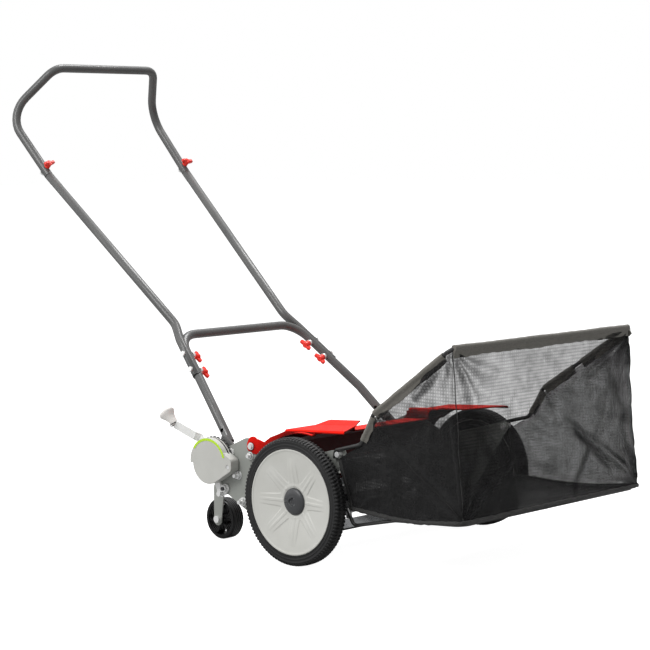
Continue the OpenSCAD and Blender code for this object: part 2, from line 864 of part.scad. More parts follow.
module roller_wheel(side) {
    rim_in = roller_r - 9;
    rim_face_y = roller_out_y - 2;
    color("#1c1c1e") placed() on_side(side) difference() {
        union() {
            turned_y([roller_x, roller_r]) {
                polygon([
                    [rim_in, roller_in_y], [roller_r - 3, roller_in_y], [roller_r, roller_in_y + 4],
                    [roller_r, roller_out_y - 4], [roller_r - 3, roller_out_y], [rim_in, roller_out_y]
                ]);
                translate([roller_axle_r + fit, roller_in_y]) square([8, roller_w]);
            }
            for (i = [0:5]) along_y(roller_in_y + 5, rim_face_y) translate([roller_x, roller_r])
                rotate(60 * i) translate([23.5, -11.5]) difference() {
                    circle(r = 19.2);
                    circle(r = 14.8);
                    translate([-40, -60]) square([80, 60 + 11.5]);
                }
        }
        disc_y([roller_x, roller_r], roller_in_y - 1, roller_out_y + 1, roller_axle_r + fit);
        disc_y([roller_x, roller_r], roller_in_y - 3, roller_in_y - 2, 60);
    }
}

module roller_wheel_right() {
    roller_wheel(-1);
}

module roller_wheel_left() {
    roller_wheel(1);
}

// ---- height adjuster, on the right side ----

module height_crank() {
    color("#d8dadc") placed() on_side(-1) along_y(crank_in_y, crank_out_y) difference() {
        wrapped([[crank_end[0], crank_end[1], 7.5], [roller_pivot[0], roller_pivot[1], 9]]);
        translate(roller_pivot) circle(r = thread_r + fit);
        translate(crank_end) circle(r = 3 + fit);
    }
}

module adjust_link() {
    color("#e4e6e8") placed() on_side(-1) along_y(link_in_y, link_in_y + link_t) difference() {
        union() {
            translate(eccentric) circle(r = eccentric_r + strap_gap + 5);
            wrapped([
                [crank_end[0], crank_end[1], 6], [eccentric[0], eccentric[1], 10]
            ]);
        }
        translate(eccentric) circle(r = eccentric_r + strap_gap);
        translate(crank_end) circle(r = 3 + fit);
    }
}

// The lever leaves the cover in its own plane, steps outwards and leans back to its knob.
lever_root = lever_pivot + lever_reach * [cos(lever_rest_angle), sin(lever_rest_angle)];
lever_mid_y = (lever_in_y + lever_out_y) / 2;
lever_step = [lever_root[0] - 5, lever_mid_y + 10, lever_root[1] + 5];
lever_tip = [-329, plate_out_y + 41, 254.5];
lever_knob_dir = [-0.70, 0.10, 0.71];

module strip(a, b, w, t, wide) {
    facing(a, b - a, wide) translate([-w / 2, -t / 2, 0]) cube([w, t, norm(b - a)]);
}

module lever_arm() {
    wide = [0.566, 0, 0.825];
    root = [lever_root[0], lever_mid_y, lever_root[1]];
    color("#e4e6e8") placed() on_side(-1) difference() {
        union() {
            along_y(link_in_y - 0.2, lever_in_y) translate(eccentric) circle(r = eccentric_r);
            along_y(lever_in_y, lever_out_y) {
                wrapped([
                    [lever_pivot[0], lever_pivot[1], 12], [lever_root[0], lever_root[1], lever_w / 2]
                ]);
            }
            strip(root, lever_step, lever_w, lever_t, wide);
            disc_bend(lever_step, lever_w, lever_t, wide);
            strip(lever_step, lever_tip, lever_w, lever_t, wide);
        }
        disc_y(lever_pivot, link_in_y - 1, lever_out_y + 1, lever_bolt_r + fit);
    }
}

// Round bar that fills the outside of a bend in a strip.
module disc_bend(at, w, t, wide) {
    facing(at, wide, [0, 1, 0]) translate([0, 0, 0.4 - w / 2]) cylinder(h = w - 0.8, r = t / 2 + 0.4);
}

module lever_knob() {
    color("#c3c0bc") placed() on_side(-1) facing(lever_tip + lever_knob_dir * 1.5, lever_knob_dir)
        rotate_extrude() polygon([
            [0, 0], [8, 0], [8.6, 5], [9.2, 11], [11, 17], [14.5, 23], [16.6, 27],
            [17, lever_knob_len - 7], [15.5, lever_knob_len - 3.5], [11, lever_knob_len - 1],
            [5, lever_knob_len], [0, lever_knob_len]
        ]);
}

// Outline of the cover, drawn inwards by gap.
module cover_outline(gap) {
    intersection() {
        translate(lever_pivot) circle(r = cover_r - gap);
        translate([lever_pivot[0] - 100, lever_pivot[1] - 3 + gap]) square([200, 100]);
    }
    wrapped([
        [lever_pivot[0] + 57, lever_pivot[1] - 5, 10 - gap],
        [lever_pivot[0] + 58, lever_pivot[1] + 6, 9 - gap],
        [lever_pivot[0], lever_pivot[1], cover_r - 7.5 - gap]
    ]);
}

// Ring sector round the lever's pivot, from angle a0 to a1.
module sector(r_in, r_out, a0, a1) {
    far = 3 * r_out;
    mid = (a0 + a1) / 2;
    intersection() {
        difference() {
            circle(r = r_out);
            circle(r = r_in);
        }
        polygon([[0, 0], far * [cos(a0), sin(a0)], far * [cos(mid), sin(mid)], far * [cos(a1), sin(a1)]]);
    }
}

module adjuster_cover() {
    slot_far = 80;
    screw_at = lever_pivot + [57, -4];
    color("#bebeb9") placed() on_side(-1) difference() {
        along_y(cover_in_y, cover_out_y) cover_outline(0);
        along_y(cover_in_y - 1, cover_out_y - cover_wall) cover_outline(cover_wall);
        // Slot that the lever sweeps through.
        along_y(lever_in_y - 0.8, lever_out_y + 1) translate(lever_pivot)
            sector(30, slot_far, 24, 152);
        // Way out for the link.
        along_y(cover_in_y - 1, link_in_y + link_t + 0.8) translate([-262, 110]) square([32, 45]);
        // Clearance round the quadrant.
        along_y(cover_in_y - 1, quadrant_out_y + 0.4) translate(lever_pivot) circle(r = 54);
        along_y(cover_out_y - 2, cover_out_y + 1) translate(screw_at) circle(r = 4.4);
        along_y(cover_in_y, cover_out_y + 1) translate(screw_at) circle(r = 2 + fit);
    }
}

module adjuster_quadrant() {
    color("#d8dadc") placed() on_side(-1) along_y(back_out_y + 0.1, quadrant_out_y) difference() {
        intersection() {
            translate(lever_pivot) circle(r = 53);
            translate([lever_pivot[0] - 60, lever_pivot[1] - 14]) square([120, 80]);
        }
        translate(lever_pivot) circle(r = lever_bolt_r + fit);
        for (a = [36:12:144]) translate(lever_pivot) rotate(a) translate([53, 0]) circle(r = 2.4);
    }
}

module adjuster_back() {
    color("#242424") placed() on_side(-1) along_y(back_in_y, back_out_y) difference() {
        cover_outline(1);
        translate(lever_pivot) circle(r = lever_bolt_r + fit);
        translate(handle_pivot) circle(r = 8.5);
        translate(lever_pivot + [57, -4]) circle(r = 2 + fit);
    }
}

module height_scale() {
    color("#b4dc28") placed() on_side(-1) along_y(cover_out_y + 0.02, cover_out_y + 0.6)
        translate(lever_pivot) sector(scale_r - scale_w / 2, scale_r + scale_w / 2, 17, 145);
}

module adjuster_screws() {
    screw_at = lever_pivot + [57, -4];
    color("#c4c6c8") placed() on_side(-1) {
        disc_y(lever_pivot, plate_in_y - 6, lever_out_y + 4, lever_bolt_r);
        hex_y(lever_pivot, lever_out_y + 0.3, lever_out_y + 5.5, 7);
        hex_y(lever_pivot, plate_in_y - 6, plate_in_y, 7);
        disc_y(screw_at, back_in_y, cover_out_y - 2, 2);
        disc_y(screw_at, cover_out_y - 2, cover_out_y - 0.5, 4);
    }
}

// ---- handle ----

module across_hole(at, r) {
    along_y(at[2] - 30, at[2] + 30) translate([at[0], at[1]]) circle(r = r);
}

upper_half = [grip_corner, neck, upper_end];
upper_line = rounded_path(
    concat(reversed(upper_half), [for (p = upper_half) flip_y(p)]),
    [0, neck_bend_r, grip_bend_r, grip_bend_r, neck_bend_r, 0]
);
// The part stands with its box centred over the origin.
frame_shift = -(min([for (p = upper_line) p.x]) - tube_r + bag_front_x) / 2;
upper_dir = unit(upper_end - neck);
mid_dir = unit(mid_bend - upper_end);
upper_bolt_at = upper_end - upper_dir * upper_bolt_in;
upper_knob_dir = unit(cross(cross(upper_dir, [0.731, 0, 0.683]), upper_dir));

module joint_hole(at, dir, r, half) {
    facing(at - dir * half, dir) cylinder(h = 2 * half, r = r);
}

module upper_handle() {
    color("#585858") placed() difference() {
        swept(upper_line, tube_r, bore_r, tube_sides);
        both_sides() joint_hole(upper_bolt_at, upper_knob_dir, joint_bolt_d / 2 + fit, 20);
    }
}

arm_dir = unit(arm_bend - cross_corner);
joint_out = unit(cross(cross(arm_dir, [-0.10, 0.96, 0.22]), arm_dir));
function arm_at(s) = cross_corner + arm_dir * s;
// Where the lower joint's bolts cross the arm.
function lower_bolt(i) = arm_at(lower_bolt_at[i]);
mid_end = arm_at(nest_end) + joint_out * nest_rise;
mid_line = rounded_path(
    [upper_end + mid_dir * tube_gap, mid_bend, arm_at(nest_start) + joint_out * nest_rise, mid_end],
    [0, 50, 60, 0]
);
pressed_line = [for (p = mid_line) if (p.x > mid_bend.x + 6) p];

// The cross tube with its two arms, each flattened into a foot for its bolt.
lower_half = [arm_end, arm_bend, cross_corner];
lower_line = rounded_path(
    concat(lower_half, [for (p = reversed(lower_half)) flip_y(p)]),
    [0, 60, 60, 60, 60, 0]
);

module mid_tube(side) {
    color("#585858") placed() on_side(side) difference() {
        union() {
            swept(mid_line, tube_r, bore_r - 0.6, tube_sides);
            // Pressed end, closed by its own folded wall.
            swept(pressed_line, bore_r, 0, tube_sides);
            // Reduced end that slides into the upper tube.
            swept([upper_end - upper_dir * spigot_len, upper_end + upper_dir * 5], spigot_r,
                bore_r - 1.4, tube_sides);
        }
        swept(lower_line, tube_r + 0.15, 0, tube_sides);
        joint_hole(upper_bolt_at, upper_knob_dir, joint_bolt_d / 2 + fit, 20);
        for (i = [0, 1]) joint_hole(lower_bolt(i), joint_out, joint_bolt_d / 2 + fit, 24);
    }
}

module mid_tube_right() {
    mid_tube(-1);
}

module mid_tube_left() {
    mid_tube(1);
}

module tube_end_caps() {
    color("#141414") placed() both_sides() facing(mid_end + arm_dir * 0.1, arm_dir, joint_out)
        difference() {
            cylinder(h = 2.5, r = tube_r);
            translate([-nest_rise, 0, -1]) cylinder(h = 5, r = tube_r + 0.15);
        }
}

module arm_foot() {
    start = [arm_end.x - 8, arm_end.z + 8];
    along_y(plate_in_y - face_gap - foot_t, plate_in_y - face_gap) difference() {
        wrapped([
            [handle_pivot[0], handle_pivot[1], foot_r], [start[0], start[1], tube_r - 1.5]
        ]);
        translate(handle_pivot) circle(r = pivot_bolt_d / 2 + fit);
    }
}

module lower_handle() {
    color("#585858") placed() difference() {
        union() {
            swept(lower_line, tube_r, bore_r, tube_sides);
            both_sides() arm_foot();
        }
        both_sides() {
            for (i = [0, 1]) joint_hole(lower_bolt(i), joint_out, joint_bolt_d / 2 + fit, 24);
            across_hole([spare_hole[0], spare_hole[1], plate_in_y - 12], spare_hole_d / 2);
        }
    }
}

knob_hub_r = 6.5;
knob_hub_h = 14;

// Bolts through the joints: two at the upper tube ends and four at the lower ones.
module handle_bolts() {
    head_at = tube_r + nest_rise + 0.1;
    tip_at = tube_r + washer_t + knob_gap + 11.5;
    color("#d8dadc") placed() both_sides() {
        facing(upper_bolt_at - upper_knob_dir * (tube_r + 3), upper_knob_dir) {
            cylinder(h = tube_d + 14, r = joint_bolt_d / 2);
            cylinder(h = 3, r = 6);
        }
        for (i = [0, 1]) facing(lower_bolt(i) - joint_out * tip_at, joint_out) {
            cylinder(h = tip_at + head_at + 3.5, r = joint_bolt_d / 2);
            translate([0, 0, tip_at + head_at]) cylinder(h = 3.5, r = 6);
        }
    }
}

// Flat washers between the arms and the lower knobs.
module joint_washers() {
    color("#d8dadc") placed() both_sides() for (i = [0, 1])
        facing(lower_bolt(i) - joint_out * (tube_r + washer_t + 0.1), joint_out) difference() {
            cylinder(h = washer_t, r = 7.2);
            translate([0, 0, -1]) cylinder(h = washer_t + 2, r = joint_bolt_d / 2 + fit);
        }
}

// Wing knob with its face on the origin and its stem along z.
module wing_knob() {
    wing_r = 4.6;
    difference() {
        union() {
            cylinder(h = knob_hub_h, r = knob_hub_r);
            translate([0, 2.6, 0]) rotate([90, 0, 0]) linear_extrude(5.2) for (s = [-1, 1])
                wrapped(s > 0
                    ? [[0, 7, wing_r], [knob_span / 2 - wing_r, 12, wing_r], [0, 10, wing_r]]
                    : [[0, 7, wing_r], [0, 10, wing_r], [-knob_span / 2 + wing_r, 12, wing_r]]);
        }
        translate([0, 0, -1]) cylinder(h = 12.5, r = joint_bolt_d / 2 + fit);
    }
}

module upper_knob(side) {
    color("#e82818") placed() on_side(side)
        facing(upper_bolt_at + upper_knob_dir * (tube_r + knob_gap), upper_knob_dir, [0.2, 1, 0])
            wing_knob();
}

module upper_knob_right() {
    upper_knob(-1);
}

module upper_knob_left() {
    upper_knob(1);
}

module lower_knob(side, i) {
    color("#e82818") placed() on_side(side)
        facing(lower_bolt(i) - joint_out * (tube_r + washer_t + knob_gap), -joint_out, arm_dir)
            wing_knob();
}

module lower_knob_right_rear() {
    lower_knob(-1, 0);
}

module lower_knob_right_front() {
    lower_knob(-1, 1);
}

module lower_knob_left_rear() {
    lower_knob(1, 0);
}

module lower_knob_left_front() {
    lower_knob(1, 1);
}

module handle_pivot_bolts() {
    foot_in_y = plate_in_y - face_gap - foot_t;
    color("#c4c6c8") placed() both_sides() {
        disc_y(handle_pivot, foot_in_y - 8, plate_out_y + 2, pivot_bolt_d / 2);
        disc_y(handle_pivot, plate_out_y, plate_out_y + 2, pivot_bolt_d / 2 + 3.5);
        hex_y(handle_pivot, foot_in_y - 7, foot_in_y - 0.3, pivot_bolt_d / 2 + 3.5);
    }
}

// ---- grass bag ----

function bag_y(x) = bag_rear_half_w
    + (bag_half_w - bag_rear_half_w) * (x - bag_rear_x) / (bag_front_x - bag_rear_x);

bag_top_line = let (
    half = [
        [bag_pin[0] - 13, bag_y(100) + 1, bag_pin[1] - 9],
        [bag_pin[0] - 11, bag_y(100) + 1, bag_pin[1] + top_wire_r + 2.4],
        [bag_wrist[0], bag_y(bag_wrist[0]), bag_wrist[1]],
        [bag_knee[0], bag_y(bag_knee[0]), bag_knee[1]],
        [bag_front_top[0], bag_y(bag_front_top[0]), bag_front_top[1]]
    ]
) rounded_path(concat(half, [for (p = reversed(half)) flip_y(p)]),
    [0, 8, 16, 24, 18, 18, 24, 16, 8, 0]);

module bag_top_frame() {
    color("#1e1e1e") placed() swept(bag_top_line, top_wire_r, 0, wire_sides);
}

floor_drop = floor_wire_r + soft_gap;
bag_floor_line = let (
    half = [
        [112, plate_out_y + 4, 121], [131, plate_out_y + 6, 90],
        [238, bag_y(238) - 8, 116 - floor_drop],
        [bag_front_foot[0] - 8, bag_y(bag_front_foot[0]) - 9, bag_front_foot[1] - floor_drop]
    ]
) rounded_path(concat(half, [for (p = reversed(half)) flip_y(p)]), [0, 14, 60, 20, 20, 60, 14, 0]);

module bag_floor_frame() {
    color("#1e1e1e") placed() swept(bag_floor_line, floor_wire_r, 0, wire_sides);
}

// Side view of the bag's cloth; up is how far its open top is carried on to cut the inside.
module bag_side_view(t, up) {
    top_drop = (top_wire_r + soft_gap) * 1.3;
    polygon([
        [bag_rear_foot[0] - up, bag_rear_foot[1] + t], [232, 117 + t],
        [bag_front_foot[0] - t, bag_front_foot[1] + t],
        [bag_front_top[0] - t + 2, bag_front_top[1] - top_drop + up],
        [bag_knee[0] + 3 - up, bag_knee[1] - top_drop + up],
        [bag_wrist[0] + 6 - up, bag_wrist[1] - top_drop - 2 + up], [122 - up, 190]
    ]);
}

module bag_plan(t) {
    linear_extrude(600) polygon([
        for (p = [[0, -1], [600, -1], [600, 1], [0, 1]]) [p[0], p[1] * (bag_y(p[0]) - t)]
    ]);
}

module bag_cloth() {
    color("#202020") placed() difference() {
        intersection() {
            along_y(-400, 400) bag_side_view(0, 0);
            bag_plan(0);
        }
        intersection() {
            along_y(-400, 400) bag_side_view(cloth_t, 60);
            bag_plan(cloth_t);
        }
    }
}

side_plate_right();
side_plate_left();
deck_cover();
deck_bolts();
tie_rods();
tie_rod_nuts();
bed_knife_bar();
bed_knife();
knife_screws();
bearing_housings();
reel_bearings();
reel_shaft();
reel_spiders();
reel_blades();
drive_pinions();
drive_pawls();
wheel_axles();
axle_retainers();
knife_adjusters();
tyre_right();
tyre_left();
wheel_disc_right();
wheel_disc_left();
ring_gear_right();
ring_gear_left();
hub_cap_right();
hub_cap_left();
bag_pins();
roller_shaft();
roller_bracket_right();
roller_bracket_left();
roller_bolts();
roller_wheel_right();
roller_wheel_left();
height_crank();
adjust_link();
lever_arm();
lever_knob();
adjuster_cover();
adjuster_quadrant();
adjuster_back();
height_scale();
adjuster_screws();
lower_handle();
mid_tube_right();
mid_tube_left();
upper_handle();
tube_end_caps();
handle_bolts();
joint_washers();
handle_pivot_bolts();
upper_knob_right();
upper_knob_left();
lower_knob_right_rear();
lower_knob_right_front();
lower_knob_left_rear();
lower_knob_left_front();
bag_top_frame();
bag_floor_frame();
bag_cloth();
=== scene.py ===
import json
import math

import bmesh
import bpy
import numpy as np
from mathutils import Matrix, Vector


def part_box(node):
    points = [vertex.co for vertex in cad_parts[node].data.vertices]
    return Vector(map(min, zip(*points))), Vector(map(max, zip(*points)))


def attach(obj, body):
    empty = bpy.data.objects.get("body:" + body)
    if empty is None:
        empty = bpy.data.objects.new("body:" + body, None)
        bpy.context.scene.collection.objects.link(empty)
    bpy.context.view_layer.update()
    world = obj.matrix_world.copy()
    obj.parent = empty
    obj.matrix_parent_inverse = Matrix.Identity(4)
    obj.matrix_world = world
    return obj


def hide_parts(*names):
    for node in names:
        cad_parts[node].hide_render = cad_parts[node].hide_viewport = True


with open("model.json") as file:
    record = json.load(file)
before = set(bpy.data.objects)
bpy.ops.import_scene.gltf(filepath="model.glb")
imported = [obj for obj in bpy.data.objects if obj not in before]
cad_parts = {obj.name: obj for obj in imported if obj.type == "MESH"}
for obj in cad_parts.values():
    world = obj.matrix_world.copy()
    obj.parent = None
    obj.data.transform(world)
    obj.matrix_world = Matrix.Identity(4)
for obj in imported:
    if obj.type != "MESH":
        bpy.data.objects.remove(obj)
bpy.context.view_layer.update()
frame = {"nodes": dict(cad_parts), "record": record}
nodes = frame["nodes"]
print("mower frame loaded:", len(nodes), "nodes")

# lengths in the dictionaries are millimetres: forward of the wheel axle, to the left of the
# middle, and above the ground
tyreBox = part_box("tyre_right")
axleX = (tyreBox[0].x + tyreBox[1].x) / 2
axleZ = 127.0
millimetre = 0.001


# millimetres measured from the axle line, as metres in the shared frame
def fromAxle(points):
    return np.asarray(points, float) * millimetre + np.array([axleX, 0.0, 0.0])


# a screen colour, 0 to 255, as the linear colour a shader takes
def tone(red, green, blue):
    c = np.array([red, green, blue]) / 255.0  # then the usual screen curve, undone
    linear = np.where(c <= 0.04045, c / 12.92, ((c + 0.055) / 1.055) ** 2.4)
    return (*linear.tolist(), 1.0)


# an empty node group with those named sockets
def newGroup(name, inputs, outputs):
    tree = bpy.data.node_groups.new(name, "ShaderNodeTree")
    for label, kind, value in inputs:
        socket = tree.interface.new_socket(name=label, in_out="INPUT", socket_type=kind)
        if value is not None:
            socket.default_value = value
    for label, kind in outputs:
        tree.interface.new_socket(name=label, in_out="OUTPUT", socket_type=kind)
    return tree, tree.nodes.new("NodeGroupInput"), tree.nodes.new("NodeGroupOutput")


# one sum on numbers or sockets
def mathNode(tree, operation, a, b=None, clamp=False):
    node = tree.nodes.new("ShaderNodeMath")
    node.operation = operation
    node.use_clamp = clamp
    for i, value in enumerate((a, b)):
        if value is None:
            continue
        if isinstance(value, (int, float)):
            node.inputs[i].default_value = value
        else:
            tree.links.new(value, node.inputs[i])
    return node.outputs[0]


# noise at a place, its scale a number or a socket
def noiseNode(tree, vector, scale, detail, roughness=0.5):
    node = tree.nodes.new("ShaderNodeTexNoise")
    node.inputs["Detail"].default_value = detail
    node.inputs["Roughness"].default_value = roughness
    if isinstance(scale, (int, float)):
        node.inputs["Scale"].default_value = scale
    else:
        tree.links.new(scale, node.inputs["Scale"])
    tree.links.new(vector, node.inputs["Vector"])
    return node.outputs["Fac"]


# slow clouds of colour and a fine grain, both 0 to 1, from a place on the piece
def buildGrain():
    tree, given, made = newGroup(
        "surfaceGrain",
        [("Place", "NodeSocketVector", None), ("Cloud Scale", "NodeSocketFloat", 14.0),
         ("Grain Scale", "NodeSocketFloat", 900.0)],
        [("Clouds", "NodeSocketFloat"), ("Grain", "NodeSocketFloat")])
    clouds = noiseNode(tree, given.outputs["Place"], given.outputs["Cloud Scale"], 4.0, 0.55)
    grain = noiseNode(tree, given.outputs["Place"], given.outputs["Grain Scale"], 2.0, 0.6)
    tree.links.new(clouds, made.inputs["Clouds"])
    tree.links.new(grain, made.inputs["Grain"])
    return tree


edgeLightShade = {
    "radius": 0.0012,  # metres
    "samples": 4,
    "patches": 60.0,  # noise scale that breaks the painted edge highlight and shade up
    "reach": 5.0,
}


# rounds sharp edges to the eye and marks them for a painted edge highlight: lighter on most
# finishes, and darker on the lever arm, where it is a painted edge shade
def buildEdgeLightShade():
    w = edgeLightShade
    tree, given, made = newGroup(
        "edgeLightShade",
        [("Place", "NodeSocketVector", None), ("Radius", "NodeSocketFloat", w["radius"])],
        [("Normal", "NodeSocketVector"), ("Edge", "NodeSocketFloat")])
    bevel = tree.nodes.new("ShaderNodeBevel")
    bevel.samples = w["samples"]
    tree.links.new(given.outputs["Radius"], bevel.inputs["Radius"])
    geometry = tree.nodes.new("ShaderNodeNewGeometry")
    dot = tree.nodes.new("ShaderNodeVectorMath")
    dot.operation = "DOT_PRODUCT"
    tree.links.new(bevel.outputs["Normal"], dot.inputs[0])
    tree.links.new(geometry.outputs["True Normal"], dot.inputs[1])
    away = mathNode(tree, "SUBTRACT", 1.0, dot.outputs["Value"])
    patchy = noiseNode(tree, given.outputs["Place"], w["patches"], 3.0)
    edge = mathNode(tree, "MULTIPLY", mathNode(tree, "MULTIPLY", away, w["reach"]), patchy,
                    clamp=True)
    tree.links.new(bevel.outputs["Normal"], made.inputs["Normal"])
    tree.links.new(edge, made.inputs["Edge"])
    return tree


# crossed threads from a cloth's own UV in metres: how much of a place is thread, and its height
def buildWeave():
    tree, given, made = newGroup(
        "clothWeave",
        [("Cloth Place", "NodeSocketVector", None), ("Threads", "NodeSocketFloat", 620.0),
         ("Thread Share", "NodeSocketFloat", 0.5)],
        [("Cover", "NodeSocketFloat"), ("Height", "NodeSocketFloat")])
    split = tree.nodes.new("ShaderNodeSeparateXYZ")
    tree.links.new(given.outputs["Cloth Place"], split.inputs[0])
    waves = []
    for axis in ("X", "Y"):
        turns = mathNode(tree, "MULTIPLY", split.outputs[axis], given.outputs["Threads"])
        wave = mathNode(tree, "SINE", mathNode(tree, "MULTIPLY", turns, 2 * math.pi))
        waves.append(mathNode(tree, "ADD", mathNode(tree, "MULTIPLY", wave, 0.5), 0.5))
    height = mathNode(tree, "MAXIMUM", waves[0], waves[1])
    bare = mathNode(tree, "SUBTRACT", 1.0, given.outputs["Thread Share"])
    over = mathNode(tree, "SUBTRACT", height, bare)
    cover = mathNode(tree, "MULTIPLY", over, 4.0, clamp=True)
    tree.links.new(cover, made.inputs["Cover"])
    tree.links.new(height, made.inputs["Height"])
    return tree


grainGroup = buildGrain()
edgeGroup = buildEdgeLightShade()
weaveGroup = buildWeave()


# a new material, its node tree and its shader
def startMaterial(name):
    material = bpy.data.materials.new(name)
    material.use_nodes = True
    tree = material.node_tree
    return material, tree, tree.nodes["Principled BSDF"]


# a shared effect placed in a material with its own values
def placeGroup(tree, group, vector, socket, **values):
    node = tree.nodes.new("ShaderNodeGroup")
    node.node_tree = group
    tree.links.new(vector, node.inputs[socket])
    for label, value in values.items():
        node.inputs[label.replace("_", " ")].default_value = value
    return node


# from colour a to colour b as the factor goes from 0 to 1
def mixColour(tree, factor, a, b):
    node = tree.nodes.new("ShaderNodeMix")
    node.data_type = "RGBA"
    tree.links.new(factor, node.inputs["Factor"])
    sockets = [s for s in node.inputs if s.type == "RGBA"]
    for value, socket in zip((a, b), sockets):
        if isinstance(value, tuple):
            socket.default_value = value
        else:
            tree.links.new(value, socket)
    return [s for s in node.outputs if s.type == "RGBA"][0]


noiseRange = (0.3, 0.7)  # where nearly all of a noise mask lies


# maps a noise mask onto the range low to high
def spread(tree, factor, low, high):
    node = tree.nodes.new("ShaderNodeMapRange")
    tree.links.new(factor, node.inputs["Value"])
    node.inputs["From Min"].default_value = noiseRange[0]
    node.inputs["From Max"].default_value = noiseRange[1]
    node.inputs["To Min"].default_value = low
    node.inputs["To Max"].default_value = high
    return node.outputs["Result"]


# fine relief from a height mask, over another normal if there is one
def bump(tree, height, strength, distance, normal=None):
    node = tree.nodes.new("ShaderNodeBump")
    node.inputs["Strength"].default_value = strength
    node.inputs["Distance"].default_value = distance
    tree.links.new(height, node.inputs["Height"])
    if normal is not None:
        tree.links.new(normal, node.inputs["Normal"])
    return node.outputs["Normal"]


# the shared grain with a look's own scales
def grainOf(tree, place, look):
    return placeGroup(tree, grainGroup, place, "Place", Cloud_Scale=look.get("clouds", 14.0),
                      Grain_Scale=look.get("grain", 900.0))


# a look's colour, from dark to light as the mask goes up
def darkToLight(tree, mask, look):
    return mixColour(tree, spread(tree, mask, 0.0, 1.0), look["dark"], look["light"])


# a look's roughness, which follows the grain
def roughen(tree, shader, grain, look):
    tree.links.new(spread(tree, grain.outputs["Grain"], *look["roughness"]),
                   shader.inputs["Roughness"])


closedIn = {
    "samples": 8,
    "reach": 0.3,  # metres
    "from": 0.6,  # openness at which a place takes the whole shade colour
    "slope": 3.0,
}


# painted, plated or moulded surface: two close colours in slow clouds, grain, rounded edges in the
# bare colour as a painted edge highlight (a painted edge shade on the lever arm), and a painted
# shade colour where other pieces close the surface in
def coatedMaterial(name, look):
    material, tree, shader = startMaterial(name)
    place = tree.nodes.new("ShaderNodeTexCoord").outputs["Object"]
    grain = grainOf(tree, place, look)
    edgeTone = placeGroup(tree, edgeGroup, place, "Place", Radius=look.get("edge", edgeLightShade["radius"]))
    base = darkToLight(tree, grain.outputs["Clouds"], look)
    # the edges take the bare colour: a painted highlight, and on the lever arm a painted shade
    dressing = mixColour(tree, mathNode(tree, "MULTIPLY", edgeTone.outputs["Edge"], look.get("edgeTone", 0.4)),
                     base, look.get("bare", look["light"]))
    if "shade" in look:
        around = tree.nodes.new("ShaderNodeAmbientOcclusion")
        around.samples = closedIn["samples"]
        around.inputs["Distance"].default_value = closedIn["reach"]
        past = mathNode(tree, "SUBTRACT", around.outputs["AO"], closedIn["from"])
        openness = mathNode(tree, "MULTIPLY", past, closedIn["slope"], clamp=True)
        dressing = mixColour(tree, openness, look["shade"], dressing)
    tree.links.new(dressing, shader.inputs["Base Color"])
    roughen(tree, shader, grain, look)
    tree.links.new(bump(tree, grain.outputs["Grain"], look.get("bump", 0.25), 0.0004,
                        edgeTone.outputs["Normal"]), shader.inputs["Normal"])
    shader.inputs["Metallic"].default_value = look.get("metal", 0.0)
    shader.inputs["Specular IOR Level"].default_value = look.get("shine", 0.5)
    if look.get("coat"):
        shader.inputs["Coat Weight"].default_value = look["coat"]
        shader.inputs["Coat Roughness"].default_value = 0.12
    return material


